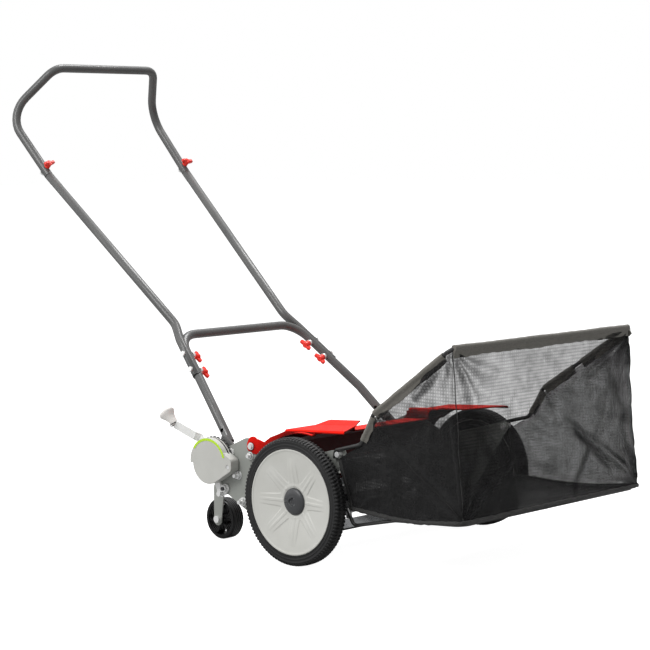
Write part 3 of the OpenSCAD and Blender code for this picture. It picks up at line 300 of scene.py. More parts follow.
# each finish: two colours, roughness from and to, and where it differs from plain, the edge's
# radius and bare colour (a painted edge highlight; on the lever arm a darker painted edge shade),
# how much of that edge colour shows, the grain's scale and bump, metal, coat, shine and the
# painted shade colour
finishes = {
    "tubePaint": {"dark": tone(70, 71, 71), "light": tone(82, 82, 81),
                  "roughness": (0.48, 0.58), "coat": 0.3, "bump": 0.12, "grain": 1400.0,
                  "bare": tone(120, 120, 120), "edgeTone": 0.3},
    "plateGrey": {"dark": tone(138, 141, 136), "light": tone(150, 152, 147),
                  "roughness": (0.4, 0.52), "bump": 0.3, "bare": tone(178, 180, 176)},
    "deckRed": {"dark": tone(238, 20, 4), "light": tone(248, 28, 8),
                "roughness": (0.46, 0.56), "bump": 0.12, "edge": 0.0022,
                "bare": tone(255, 70, 44), "edgeTone": 0.35, "shine": 0.08, "shade": tone(70, 3, 2)},
    "knobRed": {"dark": tone(232, 34, 14), "light": tone(246, 44, 22),
                "roughness": (0.26, 0.36), "bump": 0.1, "edge": 0.0016,
                "bare": tone(255, 90, 70), "edgeTone": 0.4},
    "zincPlate": {"dark": tone(216, 217, 217), "light": tone(238, 238, 236),
                  "roughness": (0.26, 0.4), "metal": 0.5, "bump": 0.12, "grain": 600.0,
                  "edge": 0.0008},
    # the lever arm's bare colour is darker than its body: a painted shade along its edges
    "leverZinc": {"dark": tone(240, 241, 238), "light": tone(250, 250, 248),
                  "roughness": (0.34, 0.46), "bump": 0.12, "grain": 500.0, "edge": 0.0014,
                  "bare": tone(170, 171, 170), "edgeTone": 0.6},
    "bareSteel": {"dark": tone(150, 152, 154), "light": tone(182, 184, 186),
                  "roughness": (0.22, 0.36), "metal": 1.0, "bump": 0.1},
    "blackSteel": {"dark": tone(30, 30, 31), "light": tone(42, 42, 43),
                   "roughness": (0.36, 0.5), "bump": 0.25, "bare": tone(90, 90, 90)},
    "wireBlack": {"dark": tone(24, 24, 24), "light": tone(40, 40, 40),
                  "roughness": (0.28, 0.4), "bump": 0.15, "bare": tone(120, 120, 118),
                  "edgeTone": 0.5},
    "discGrey": {"dark": tone(192, 192, 186), "light": tone(200, 200, 195),
                 "roughness": (0.42, 0.52), "bump": 0.14, "bare": tone(215, 215, 210),
                 "edgeTone": 0.3, "grain": 1100.0},
    "hubDark": {"dark": tone(48, 49, 51), "light": tone(60, 61, 63),
                "roughness": (0.36, 0.48), "bump": 0.2, "bare": tone(96, 97, 99)},
    "gearPlastic": {"dark": tone(30, 30, 32), "light": tone(44, 44, 46),
                    "roughness": (0.45, 0.6)},
    "housingGrey": {"dark": tone(184, 184, 179), "light": tone(192, 192, 187),
                    "roughness": (0.44, 0.55), "bump": 0.16, "edge": 0.0025,
                    "bare": tone(206, 206, 202), "edgeTone": 0.3},
    "gripPale": {"dark": tone(214, 211, 206), "light": tone(224, 221, 217),
                 "roughness": (0.4, 0.5), "bump": 0.15, "edge": 0.002},
    "blackPlastic": {"dark": tone(24, 24, 25), "light": tone(34, 34, 35),
                     "roughness": (0.42, 0.55), "bump": 0.2},
}
coats = {name: coatedMaterial(name, look) for name, look in finishes.items()}
print("finishes made:", len(coats))


rubberLook = {
    "clouds": 22.0,
    "grain": 700.0,
    "rings": 0.0032,  # metres between the fine moulding rings
    "ringShare": 0.35,
    "grainShare": 0.6,
    "dark": tone(21, 21, 22),
    "light": tone(31, 31, 31),
    "roughness": (0.5, 0.64),
    "shine": 0.35,
}


# tyre rubber: dull, with fine moulding rings round the axle on its side walls
def rubberMaterial():
    look = rubberLook
    material, tree, shader = startMaterial("tyreRubber")
    place = tree.nodes.new("ShaderNodeTexCoord").outputs["Object"]
    grain = grainOf(tree, place, look)
    mapping = tree.nodes.new("ShaderNodeMapping")
    mapping.vector_type = "POINT"
    mapping.inputs["Location"].default_value = (-axleX, 0.0, -axleZ * millimetre)
    tree.links.new(place, mapping.inputs["Vector"])
    split = tree.nodes.new("ShaderNodeSeparateXYZ")
    tree.links.new(mapping.outputs["Vector"], split.inputs[0])
    radius = mathNode(tree, "SQRT", mathNode(
        tree, "ADD", mathNode(tree, "POWER", split.outputs["X"], 2.0),
        mathNode(tree, "POWER", split.outputs["Z"], 2.0)))
    rings = mathNode(tree, "SINE", mathNode(tree, "MULTIPLY", radius, 2 * math.pi / look["rings"]))
    height = mathNode(tree, "ADD", mathNode(tree, "MULTIPLY", rings, look["ringShare"]),
                      mathNode(tree, "MULTIPLY", grain.outputs["Grain"], look["grainShare"]))
    tree.links.new(darkToLight(tree, grain.outputs["Clouds"], look), shader.inputs["Base Color"])
    roughen(tree, shader, grain, look)
    tree.links.new(bump(tree, height, 0.45, 0.0006), shader.inputs["Normal"])
    shader.inputs["Specular IOR Level"].default_value = look["shine"]
    return material


rollerLook = {
    "clouds": 18.0,
    "grain": 900.0,
    "ribs": 0.0052,  # metres between the ribs
    "ribShare": 1.2,
    "grainShare": 0.3,
    "dark": tone(6, 6, 7),
    "light": tone(11, 11, 12),
    "roughness": (0.34, 0.46),
    "shine": 0.25,
}


# black plastic with ribs round the small wheel's tread
def rollerMaterial():
    look = rollerLook
    material, tree, shader = startMaterial("rollerBlack")
    place = tree.nodes.new("ShaderNodeTexCoord").outputs["Object"]
    grain = grainOf(tree, place, look)
    split = tree.nodes.new("ShaderNodeSeparateXYZ")
    tree.links.new(place, split.inputs[0])
    turns = mathNode(tree, "MULTIPLY", split.outputs["Y"], 2 * math.pi / look["ribs"])
    ribs = mathNode(tree, "SINE", turns)
    height = mathNode(tree, "ADD", mathNode(tree, "MULTIPLY", ribs, look["ribShare"]),
                      mathNode(tree, "MULTIPLY", grain.outputs["Grain"], look["grainShare"]))
    tree.links.new(darkToLight(tree, grain.outputs["Clouds"], look), shader.inputs["Base Color"])
    roughen(tree, shader, grain, look)
    tree.links.new(bump(tree, height, 0.6, 0.0008), shader.inputs["Normal"])
    shader.inputs["Specular IOR Level"].default_value = look["shine"]
    return material


scaleLook = {
    "pivot": (-252.0, 0.0, 179.0),  # of the lever
    "ticks": 36.0,  # in a whole turn
    "tickWidth": 0.86,  # nearer 1 is thinner
    "tickReach": 0.0466,  # metres from the pivot to the ticks' outer ends
    "clouds": 40.0,
    "roughness": (0.35, 0.45),
    "ink": tone(96, 128, 18),
    "dark": tone(176, 216, 34),
    "light": tone(188, 226, 50),
}


# lime band with plain dark ticks set round the lever's pivot
def scaleMaterial():
    look = scaleLook
    pivot = fromAxle(look["pivot"])
    material, tree, shader = startMaterial("scaleLime")
    place = tree.nodes.new("ShaderNodeTexCoord").outputs["Object"]
    grain = grainOf(tree, place, look)
    split = tree.nodes.new("ShaderNodeSeparateXYZ")
    tree.links.new(place, split.inputs[0])
    across = mathNode(tree, "SUBTRACT", split.outputs["X"], float(pivot[0]))
    up = mathNode(tree, "SUBTRACT", split.outputs["Z"], float(pivot[2]))
    angle = mathNode(tree, "ARCTAN2", up, across)
    ticks = mathNode(tree, "SINE", mathNode(tree, "MULTIPLY", angle, look["ticks"]))
    bars = mathNode(tree, "MULTIPLY", mathNode(tree, "SUBTRACT", ticks, look["tickWidth"]), 9.0,
                    clamp=True)
    reach = mathNode(tree, "SQRT", mathNode(tree, "ADD", mathNode(tree, "POWER", across, 2.0),
                                            mathNode(tree, "POWER", up, 2.0)))
    inner = mathNode(tree, "MULTIPLY", mathNode(tree, "SUBTRACT", look["tickReach"], reach), 4000.0,
                     clamp=True)
    marks = mathNode(tree, "MULTIPLY", bars, inner)
    lime = darkToLight(tree, grain.outputs["Clouds"], look)
    tree.links.new(mixColour(tree, marks, lime, look["ink"]), shader.inputs["Base Color"])
    roughen(tree, shader, grain, look)
    return material


# see-through net: alpha is an even share, more where the net is marked darker (on the right side's
# lower part a painted shade), that swings a little with the threads, a slower beat of them, clouds,
# wrinkles and the steepness of the folds
def meshMaterial(name, look):
    material, tree, shader = startMaterial(name)
    place = tree.nodes.new("ShaderNodeTexCoord")
    grain = grainOf(tree, place.outputs["Object"], look)
    weave = placeGroup(tree, weaveGroup, place.outputs["UV"], "Cloth Place",
                       Threads=look["threads"], Thread_Share=look["share"])
    # denser and darker where the net is marked so; on the right side's lower part this is a painted
    # shade
    darkNet = tree.nodes.new("ShaderNodeAttribute")
    darkNet.attribute_name = "darkNet"
    denser = mathNode(tree, "MULTIPLY", darkNet.outputs["Fac"], look["darkNetAlpha"] - look["alpha"])
    even = mathNode(tree, "ADD", denser, look["alpha"])

    # a mask less its middle value, times how far it swings the alpha
    def swingOf(mask, middle, size):
        return mathNode(tree, "MULTIPLY", mathNode(tree, "SUBTRACT", mask, middle), size)

    coarse = placeGroup(tree, weaveGroup, place.outputs["UV"], "Cloth Place",
                        Threads=look["coarse"], Thread_Share=0.5)
    threads = mathNode(tree, "ADD", swingOf(weave.outputs["Cover"], 0.5, look["weaveSwing"]),
                       swingOf(coarse.outputs["Height"], 0.7, look["coarseSwing"]))
    wrinkles = noiseNode(tree, place.outputs["Object"], look["wrinkles"], 5.0, 0.6)
    offMiddle = mathNode(tree, "ABSOLUTE", mathNode(tree, "SUBTRACT", wrinkles, 0.5))
    ridges = mathNode(tree, "SUBTRACT", 0.07, offMiddle)
    slope = tree.nodes.new("ShaderNodeAttribute")
    slope.attribute_name = "foldSlope"
    folded = mathNode(tree, "ADD", mathNode(tree, "MULTIPLY", ridges, look["ridgeSwing"]),
                      swingOf(slope.outputs["Fac"], 0.25, look["slopeSwing"]))
    swing = mathNode(tree, "ADD", threads, folded)
    alpha = mathNode(tree, "ADD", mathNode(tree, "ADD", even, swing),
                     swingOf(grain.outputs["Clouds"], 0.5, look["cloudSwing"]), clamp=True)
    tree.links.new(darkToLight(tree, grain.outputs["Grain"], look), shader.inputs["Base Color"])
    tree.links.new(alpha, shader.inputs["Alpha"])
    roughen(tree, shader, grain, look)
    crumpled = bump(tree, wrinkles, 0.7, 0.004)
    tree.links.new(bump(tree, weave.outputs["Height"], 0.4, 0.0004, crumpled),
                   shader.inputs["Normal"])
    shader.inputs["Specular IOR Level"].default_value = look["shine"]
    shader.inputs["Sheen Weight"].default_value = 0.04
    shader.inputs["Sheen Roughness"].default_value = 0.4
    return material


webbingLook = {
    "clouds": 16.0,
    "grain": 420.0,
    "threads": 900.0,  # per metre
    "threadShare": 0.8,
    "stitch": 0.006,  # metres from stitch to stitch
    "stitchRow": 0.016,  # metres round the section to the row
    "stitchHalf": 0.0007,
    "yarn": tone(112, 110, 102),
    "roughness": (0.62, 0.78),
}


# close cloth of the sleeves, seams and hems, with a row of stitches along its UV
def webbingMaterial(name, look):
    material, tree, shader = startMaterial(name)
    place = tree.nodes.new("ShaderNodeTexCoord")
    grain = grainOf(tree, place.outputs["Object"], look)
    weave = placeGroup(tree, weaveGroup, place.outputs["UV"], "Cloth Place",
                       Threads=look["threads"], Thread_Share=look["threadShare"])
    split = tree.nodes.new("ShaderNodeSeparateXYZ")
    tree.links.new(place.outputs["UV"], split.inputs[0])
    turns = mathNode(tree, "MULTIPLY", split.outputs["X"], 2 * math.pi / look["stitch"])
    dash = mathNode(tree, "MULTIPLY", mathNode(tree, "SINE", turns), 2.0, clamp=True)
    row = mathNode(tree, "ABSOLUTE", mathNode(tree, "SUBTRACT", split.outputs["Y"],
                                              look["stitchRow"]))
    onRow = mathNode(tree, "MULTIPLY", mathNode(tree, "SUBTRACT", look["stitchHalf"], row), 4000.0,
                     clamp=True)
    stitch = mathNode(tree, "MULTIPLY", dash, onRow)
    base = darkToLight(tree, grain.outputs["Grain"], look)
    tree.links.new(mixColour(tree, stitch, base, look["yarn"]), shader.inputs["Base Color"])
    height = mathNode(tree, "ADD", weave.outputs["Height"], mathNode(tree, "MULTIPLY", stitch, 1.5))
    tree.links.new(bump(tree, height, 0.5, 0.0005), shader.inputs["Normal"])
    roughen(tree, shader, grain, look)
    shader.inputs["Sheen Weight"].default_value = 0.2
    shader.inputs["Sheen Roughness"].default_value = 0.4
    return material


netLook = {
    "threads": 560.0,  # per metre
    "share": 0.5,
    "alpha": 0.48,
    # alpha where the net is marked darker; on the right side's lower part it is a painted shade
    "darkNetAlpha": 0.93,
    "weaveSwing": 0.22,
    "coarse": 160.0,  # a slower beat of the threads, per metre
    "coarseSwing": 0.14,
    "clouds": 9.0,
    "cloudSwing": 0.1,
    "grain": 240.0,
    "slopeSwing": 0.3,  # how much denser the net looks on the flanks of its folds
    "wrinkles": 20.0,
    "ridgeSwing": 0.24,
    "roughness": (0.7, 0.85),
    "shine": 0.18,
    "dark": tone(16, 16, 17),
    "light": tone(34, 34, 34),
}
floorLook = dict(netLook, alpha=0.82, darkNetAlpha=0.82, slopeSwing=0.0,
                 dark=tone(26, 26, 26), light=tone(42, 42, 42))
tyreRubber = rubberMaterial()
rollerBlack = rollerMaterial()
scaleLime = scaleMaterial()
bagNet = meshMaterial("bagNet", netLook)
bagFloorNet = meshMaterial("bagFloorNet", floorLook)
sleeveCloth = webbingMaterial("sleeveCloth", dict(webbingLook, dark=tone(92, 90, 84),
                                                  light=tone(118, 115, 108)))
hemCloth = webbingMaterial("hemCloth", dict(webbingLook, dark=tone(22, 22, 22),
                                            light=tone(36, 36, 34)))


# which finish each carried-over node has
nodeFinish = {
    "tubePaint": ["lower_handle", "mid_tube_right", "mid_tube_left", "upper_handle"],
    "plateGrey": ["side_plate_right", "side_plate_left", "roller_bracket_right",
                  "roller_bracket_left", "adjuster_back", "bearing_housings"],
    "deckRed": ["deck_cover"],
    "knobRed": ["upper_knob_right", "upper_knob_left", "lower_knob_right_rear",
                "lower_knob_right_front", "lower_knob_left_rear", "lower_knob_left_front"],
    "zincPlate": ["deck_bolts", "tie_rods", "tie_rod_nuts", "knife_screws", "knife_adjusters",
                  "roller_bolts", "height_crank", "adjust_link", "adjuster_screws",
                  "handle_bolts", "joint_washers", "handle_pivot_bolts", "bag_pins",
                  "axle_retainers", "drive_pawls"],
    "leverZinc": ["lever_arm"],
    "bareSteel": ["bed_knife", "reel_bearings", "wheel_axles", "reel_blades", "drive_pinions"],
    "blackSteel": ["bed_knife_bar", "reel_shaft", "reel_spiders", "roller_shaft",
                   "adjuster_quadrant"],
    "wireBlack": ["bag_top_frame", "bag_floor_frame"],
    "discGrey": ["wheel_disc_right", "wheel_disc_left"],
    "hubDark": ["hub_cap_right", "hub_cap_left"],
    "gearPlastic": ["ring_gear_right", "ring_gear_left"],
    "housingGrey": ["adjuster_cover"],
    "gripPale": ["lever_knob"],
    "blackPlastic": ["tube_end_caps"],
}
materialOf = {node: coats[finish] for finish, names in nodeFinish.items() for node in names}
materialOf.update({
    "tyre_right": tyreRubber, "tyre_left": tyreRubber, "height_scale": scaleLime,
    "roller_wheel_right": rollerBlack, "roller_wheel_left": rollerBlack, "bag_cloth": bagNet,
})
for nodeName, node in nodes.items():
    dressing = node.data.materials
    if not len(dressing):
        dressing.append(materialOf[nodeName])
    for i in range(len(dressing)):
        dressing[i] = materialOf[nodeName]
bodyOf = {node: body for body, names in frame["record"]["behaviour"]["bodies"].items()
          for node in names}
print("finishes on the frame's nodes")


# a mesh object from points in metres, with its normals turned outwards and sharp edges marked
def newPiece(name, points, faces, material, uv=None, smoothAngle=38.0):
    mesh = bpy.data.meshes.new(name)
    mesh.from_pydata([tuple(p) for p in points], [], [tuple(f) for f in faces])
    mesh.update()
    if uv is not None:
        layer = mesh.uv_layers.new(name="cloth")
        corners = np.zeros(len(mesh.loops), np.int32)
        mesh.loops.foreach_get("vertex_index", corners)
        layer.data.foreach_set("uv", np.asarray(uv, np.float32)[corners].ravel())
    work = bmesh.new()
    work.from_mesh(mesh)
    bmesh.ops.recalc_face_normals(work, faces=work.faces)
    work.to_mesh(mesh)
    work.free()
    mesh.polygons.foreach_set("use_smooth", np.ones(len(mesh.polygons), bool))
    mesh.set_sharp_from_angle(angle=math.radians(smoothAngle))
    mesh.materials.append(material)
    piece = bpy.data.objects.new(name, mesh)
    bpy.context.scene.collection.objects.link(piece)
    return piece


# quads between neighbouring points of a rows by columns grid
def gridFaces(rows, columns, wrapRows, wrapColumns):
    i = np.arange(rows if wrapRows else rows - 1)
    j = np.arange(columns if wrapColumns else columns - 1)
    a, b = np.meshgrid(i, j, indexing="ij")
    nextA, nextB = (a + 1) % rows, (b + 1) % columns
    return np.stack([a * columns + b, nextA * columns + b, nextA * columns + nextB,
                     a * columns + nextB], -1).reshape(-1, 4)


# surface of revolution round the wheel axle: profile rows are [radius, y] in millimetres, carried
# round the axle in equal steps; relief(radius, y, angle) gives [dr, dy] to add at each point
def turnedPiece(name, profile, side, material, around, relief=None, closed=True):
    profile = np.asarray(profile, float)
    angle = np.linspace(0, 2 * math.pi, around, endpoint=False)[:, None]
    radius = np.broadcast_to(profile[:, 0], (around, len(profile))).copy()
    y = np.broadcast_to(profile[:, 1], (around, len(profile))).copy()
    if relief is not None:
        moved = relief(radius, y, np.broadcast_to(angle, radius.shape))
        radius, y = radius + moved[0], y + moved[1]
    points = np.stack([radius * np.cos(angle), side * y, axleZ + radius * np.sin(angle)], -1)
    faces = [tuple(f) for f in gridFaces(around, len(profile), True, closed)]
    if not closed:
        columns = len(profile)
        faces.append(tuple(range(0, around * columns, columns)))
        faces.append(tuple(range(columns - 1, around * columns, columns)))
    return newPiece(name, fromAxle(points.reshape(-1, 3)), faces, material)


# the same outline with a point at least every step millimetres
def refine(profile, step):
    profile = np.asarray(profile, float)
    out = [profile[:1]]
    for a, b in zip(profile[:-1], profile[1:]):
        count = max(1, int(np.ceil(np.linalg.norm(b - a) / step)))
        out.append(a + (b - a) * (np.arange(1, count + 1) / count)[:, None])
    return np.concatenate(out)


# 0 below edge, 1 above it, with a smooth ramp of that width
def softStep(x, edge, width):
    t = np.clip((x - edge) / width + 0.5, 0, 1)
    return t * t * (3 - 2 * t)


dressed = {
    "merge": 0.00001,  # metres
    "flatWithin": 1.0,  # degrees: flatter edges are dissolved before the bevel
    "smoothWithin": 32.0,
    "roundFrom": 35.0,
    "segments": 2,
}


# a merged copy of a CAD node with smooth shading, which stands for it; bevel is the width of its
# rounded edges in metres, if it has any
def dressNode(node, name, material, bevel=0.0):
    d = dressed
    mesh = nodes[node].data.copy()
    mesh.name = name
    work = bmesh.new()
    work.from_mesh(mesh)
    bmesh.ops.remove_doubles(work, verts=work.verts, dist=d["merge"])
    if bevel:
        bmesh.ops.dissolve_limit(work, angle_limit=math.radians(d["flatWithin"]),
                                 verts=work.verts, edges=work.edges)
    work.to_mesh(mesh)
    work.free()
    mesh.materials.clear()
    mesh.materials.append(material)
    mesh.polygons.foreach_set("use_smooth", np.ones(len(mesh.polygons), bool))
    mesh.set_sharp_from_angle(angle=math.radians(d["smoothWithin"]))
    piece = bpy.data.objects.new(name, mesh)
    bpy.context.scene.collection.objects.link(piece)
    if bevel:
        soft = piece.modifiers.new("softEdge", "BEVEL")
        soft.width = bevel
        soft.segments = d["segments"]
        soft.limit_method = "ANGLE"
        soft.angle_limit = math.radians(d["roundFrom"])
        soft.harden_normals = True
    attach(piece, bodyOf[node])
    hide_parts(node)
    return piece


tyre = {
    "radius": 127.0,
    "inside": 276.5,
    "outside": 306.5,
    "seat": 105.0,  # where it sits on the disc's rim
    "shoulder": 7.0,
    "crown": 0.4,
    "lugs": 104,
    "grooveDepth": 2.3,
    "grooveFrom": 0.14,  # share of the half width where the grooves start
    "skew": 0.28,  # how far a groove leans over the half width, in pitches
    "rings": 6.0,  # between the raised rings of the side wall
    "ringHeight": 0.5,
    "steps": 8,  # points round the wheel for each lug
}


# two rows of short grooves across the tread, half a pitch apart, that run on over the shoulders; a
# groove is a notch in the angle times a band in y; the side wall keeps two raised rings
def tyreRelief(radius, y, angle):
    t = tyre
    middle = (t["inside"] + t["outside"]) / 2
    across = (y - middle) / (t["outside"] - middle)
    outerRow = (across > 0).astype(float)
    turn = angle * t["lugs"] / (2 * math.pi) + 0.5 * outerRow + t["skew"] * across
    notch = softStep(np.abs((turn % 1.0) - 0.5), 0.24, 0.16)
    rim = t["radius"] - radius
    band = softStep(np.abs(across), t["grooveFrom"], 0.1) * (1 - softStep(rim, 6.5, 2.5))
    depth = t["grooveDepth"] * (1 - notch) * band
    wall = softStep(rim, 9.0, 2.0)
    waves = np.sin((radius - t["seat"]) * 2 * math.pi / t["rings"])
    rings = t["ringHeight"] * waves * wall * (radius > t["seat"] + 0.5)
    outward = np.clip(across * 1.3, -1, 1)
    onTread = 1 - softStep(rim, 4.0, 5.0)
    raised = (rings - t["ringHeight"] * wall) * np.sign(across) * wall
    return -depth * onTread, -depth * (1 - onTread) * outward + raised


# ring section: bore, straight side walls, round shoulders and a slightly crowned tread
def tyreProfile():
    t = tyre
    turn = np.linspace(0, math.pi / 2, 9)
    low, high = t["inside"], t["outside"]
    s = t["shoulder"]
    start = t["radius"] - s - t["crown"]
    inner = [[start + s * math.sin(a), low + s - s * math.cos(a)] for a in turn]
    outer = [[start + s * math.cos(a), high - s + s * math.sin(a)] for a in turn]
    crown = [[t["radius"], (low + high) / 2]]
    loop = ([[t["seat"], low + 1.0], [t["seat"] + 1.2, low]] + inner + crown + outer
            + [[t["seat"] + 1.2, high], [t["seat"], high - 1.0]])
    return refine(loop + [loop[0]], 1.3)[:-1]


disc = {
    "flat": 36.0,  # radius of the flat middle
    "front": 291.5,  # the flat's distance from the mower's middle
    "bore": 8.05,
    "arms": 8,
    "armHalf": 15.0,  # half the width of the raised band along each arm, at the hub
    "ribHalf": 2.6,
    "armRise": 1.45,
    "ribRise": 0.9,
    "blend": 3.0,
    "fadeFrom": 60.0,
    "fadeTo": 88.0,
}


# eight radial arms pressed proud of the front: a broad band and a narrow rib down its middle, from
# the distance to the nearest arm's line, both fading towards the rim; the distances to the two
# nearest arms are blended, so that neighbouring bands meet in a rounded tip
def discRelief(radius, y, angle):
    d = disc
    pitch = 2 * math.pi / d["arms"]
    off = (angle + pitch / 2) % pitch - pitch / 2
    side = np.abs(radius * np.sin(off))
    other = radius * np.sin(pitch - np.abs(off))
    b = d["blend"]
    blended = -b * np.log(np.exp(-side / b) + np.exp(-other / b))
    web = d["front"] - 2.6 + (radius - d["flat"]) * 0.19  # between the front and back skins
    front = (y > web).astype(float) * (radius > 27) * (radius < 92)
    fade = 1 - np.clip((radius - d["fadeFrom"]) / (d["fadeTo"] - d["fadeFrom"]), 0, 1) ** 1.5
    start = softStep(radius, 29.0, 4.0)
    band = 1 - softStep(blended, d["armHalf"] - 0.06 * radius, 2.0)
    rib = 1 - softStep(side, d["ribHalf"], 1.8)
    return 0.0 * radius, front * fade * start * (d["armRise"] * band + d["ribRise"] * rib)


# dished disc with a rolled rim outside and a thin web, a drum and a hub behind
def discProfile():
    d = disc
    front = refine([[d["bore"], d["front"]], [d["flat"], d["front"]], [90, 302.2], [97, 303.6],
                    [100.2, 304.4], [101.4, 305.3], [103.2, 305.7], [104.6, 305.3],
                    [104.95, 304.6]], 1.1)
    back = [[104.95, 278.0], [104.4, 277.5], [102, 277.5], [102, 302.7], [91, 299.2],
            [d["flat"], 288.5], [20, 288.5], [20, 264.0], [d["bore"], 264.0]]
    return np.concatenate([front, np.array(back)])


cap = {
    "radius": 27.0,
    "seat": 291.6,
    "height": 8.6,
    "recess": 7.6,
    "recessDepth": 3.6,
    "ring": 12.2,
    "ringDepth": 0.45,
    "slots": (3.4, -4.2),  # heights of the two slots
    "slotDepth": 1.6,
}


# a scalloped hollow in the middle, a fine ring round it and two short slots beside it
def capRelief(radius, y, angle):
    c = cap
    front = (y > c["seat"] + 3.0).astype(float)
    lobed = radius + 0.9 * np.cos(3 * angle)
    hollow = 1 - softStep(lobed, c["recess"], 2.2)
    ring = np.exp(-((radius - c["ring"]) / 0.8) ** 2)
    x, z = radius * np.cos(angle), radius * np.sin(angle)
    slots = np.zeros_like(radius)
    for level in c["slots"]:
        slots = np.maximum(slots, (1 - softStep(np.abs(z - level), 1.2, 0.9))
                           * (1 - softStep(np.abs(x + 17.0), 3.3, 1.2)))
    return 0.0 * radius, -front * (c["recessDepth"] * hollow + c["ringDepth"] * ring
                                   + c["slotDepth"] * slots)


# a low dome on a flat foot, with a hollow behind for the axle's clip
def capProfile():
    r, s = cap["radius"], cap["seat"]
    dome = [[0.3, s + cap["height"]], [12, s + 8.4], [18, s + 7.2], [22.5, s + 5.6],
            [25.3, s + 3.8], [26.7, s + 1.8], [r, s + 0.4], [26.6, s], [15.4, s],
            [15, s + 0.4], [15, s + 4.4], [14, s + 5.0]]
    return refine(dome + [[0.3, s + 4.9]], 0.7)


for side, sideName in ((-1, "right"), (1, "left")):
    tread = turnedPiece("tyreTread_" + sideName, tyreProfile(), side, tyreRubber,
                        tyre["lugs"] * tyre["steps"], tyreRelief)
    plate = turnedPiece("wheelDisc_" + sideName, discProfile(), side, coats["discGrey"], 480,
                        discRelief)
    hub = turnedPiece("hubCap_" + sideName, capProfile(), side, coats["hubDark"], 160, capRelief,
                      closed=False)
    for piece, node, slotName in ((tread, "tyre_", "tyre_black"),
                                  (plate, "wheel_disc_", "wheel_grey"),
                                  (hub, "hub_cap_", "hub_dark")):
        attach(piece, "wheel_" + sideName)
        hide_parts(node + sideName)
print("wheels dressed")


smoothNodes = {
    "dark_tube": ["lower_handle", "mid_tube_right", "mid_tube_left", "upper_handle"],
    "wire_black": ["bag_top_frame", "bag_floor_frame"],
}
softNodes = {  # slot: width of the rounded edges in metres, nodes
    "housing_grey": (0.0014, ["adjuster_cover"]),
    "lever_grip": (0.0008, ["lever_knob"]),
    "knob_red": (0.0011, nodeFinish["knobRed"]),
}
for slotName, names in smoothNodes.items():
    for node in names:
        dressNode(node, node + "_smooth", materialOf[node])
for slotName, (width, names) in softNodes.items():
    for node in names:
        dressNode(node, node + "_soft", materialOf[node], bevel=width)
print("tubes, cover and knobs smoothed")


bag = {
    "rearHalf": 265.0,  # half the width at rearX
    "frontHalf": 288.0,  # and at frontX
    "rearX": 135.0,
    "frontX": 418.0,
    "topEdge": [[394, 444.5], [193, 308], [158, 252], [96, 218]],  # [forward, up], front to rear
    "bottomEdge": [[417, 128], [300, 116], [232, 116], [125, 122]],
    "sideColumns": 92,
    "frontColumns": 150,
    "rows": 84,
    "cloth": 0.9,  # thickness
    "flatHeight": 334.0,
    "rounding": 9,  # passes that round the corners
    "billow": 5.0,
    # seed, count, longest, shortest, size
    "ripples": [(4, 16, 150, 34, 2.2), (9, 14, 34, 14, 0.5)],
    "steepness": 1.6,  # raises the slope that the net's shading reads
    "weaveShift": 0.4,  # metres in the weave between the front and each side
}

# folds as [across, up] in millimetres, across being forward on the sides and leftwards in front
# crease: start, end, width, height; fan: corner, rays, reach, height, turn
folds = {
    "size": 1.35,
    "right": {
        "creases": [((262, 246), (424, 140), 7, 4.5), ((384, 428), (296, 352), 8, 5.0),
                    ((372, 330), (400, 200), 9, -3.0), ((205, 300), (250, 150), 14, 2.5),
                    ((330, 400), (345, 250), 10, 2.5)],
        "fans": [((394, 450), 13, 90, 3.2), ((418, 128), 11, 80, 2.6, 1.0),
                 ((188, 312), 9, 60, 2.0), ((140, 120), 9, 60, 2.0, 0.6)],
    },
    "left": {
        "creases": [((384, 428), (286, 340), 9, 4.0), ((250, 240), (410, 150), 9, 3.5),
                    ((360, 330), (300, 170), 10, -2.5)],
        "fans": [((394, 450), 12, 90, 3.0, 0.8), ((418, 128), 10, 80, 2.6),
                 ((188, 312), 9, 60, 2.0, 2.0)],
    },
    "front": {
        "creases": [((77, 268), (190, 176), 6, 4.0), ((124, 224), (66, 140), 6, 3.6),
                    ((196, 400), (262, 260), 12, 3.4), ((236, 250), (276, 150), 7, -3.0),
                    ((-270, 420), (-180, 240), 14, 3.2), ((-250, 160), (-120, 230), 9, 3.0),
                    ((-40, 180), (60, 200), 12, 2.0), ((230, 150), (120, 170), 8, 2.6)],
        "fans": [((-288, 450), 13, 90, 3.4, 0.4), ((288, 450), 15, 110, 4.0),
                 ((288, 128), 14, 90, 3.6, 0.7), ((-288, 128), 12, 80, 3.0)],
    },
}

# where the net is drawn denser and darker: a share of the left side, the lower part of the right
# side under a line that rises forwards, which is a painted shade, and a low patch at the right of
# the front
darkNetAreas = {
    "leftShare": 0.05,
    "sideTop": 285.0,
    "sideRise": 0.1,
    "sideFrom": 250.0,
    "sideFade": 90.0,
    "frontShare": 0.5,
    "frontTop": 270.0,
    "frontFade": 60.0,
    "frontEnd": -115.0,
    "frontEndFade": 20.0,
}


# half the bag's width at a distance forward: it grows evenly in front of rearX
def bagHalf(x):
    b = bag
    share = np.maximum((x - b["rearX"]) / (b["frontX"] - b["rearX"]), 0.0)
    return b["rearHalf"] + (b["frontHalf"] - b["rearHalf"]) * share


# points at those shares of a polyline's length
def alongLine(points, share):
    points = np.asarray(points, float)
    steps = np.r_[0, np.cumsum(np.linalg.norm(np.diff(points, axis=0), axis=1))]
    return np.stack([np.interp(share * steps[-1], steps, column) for column in points.T], -1)


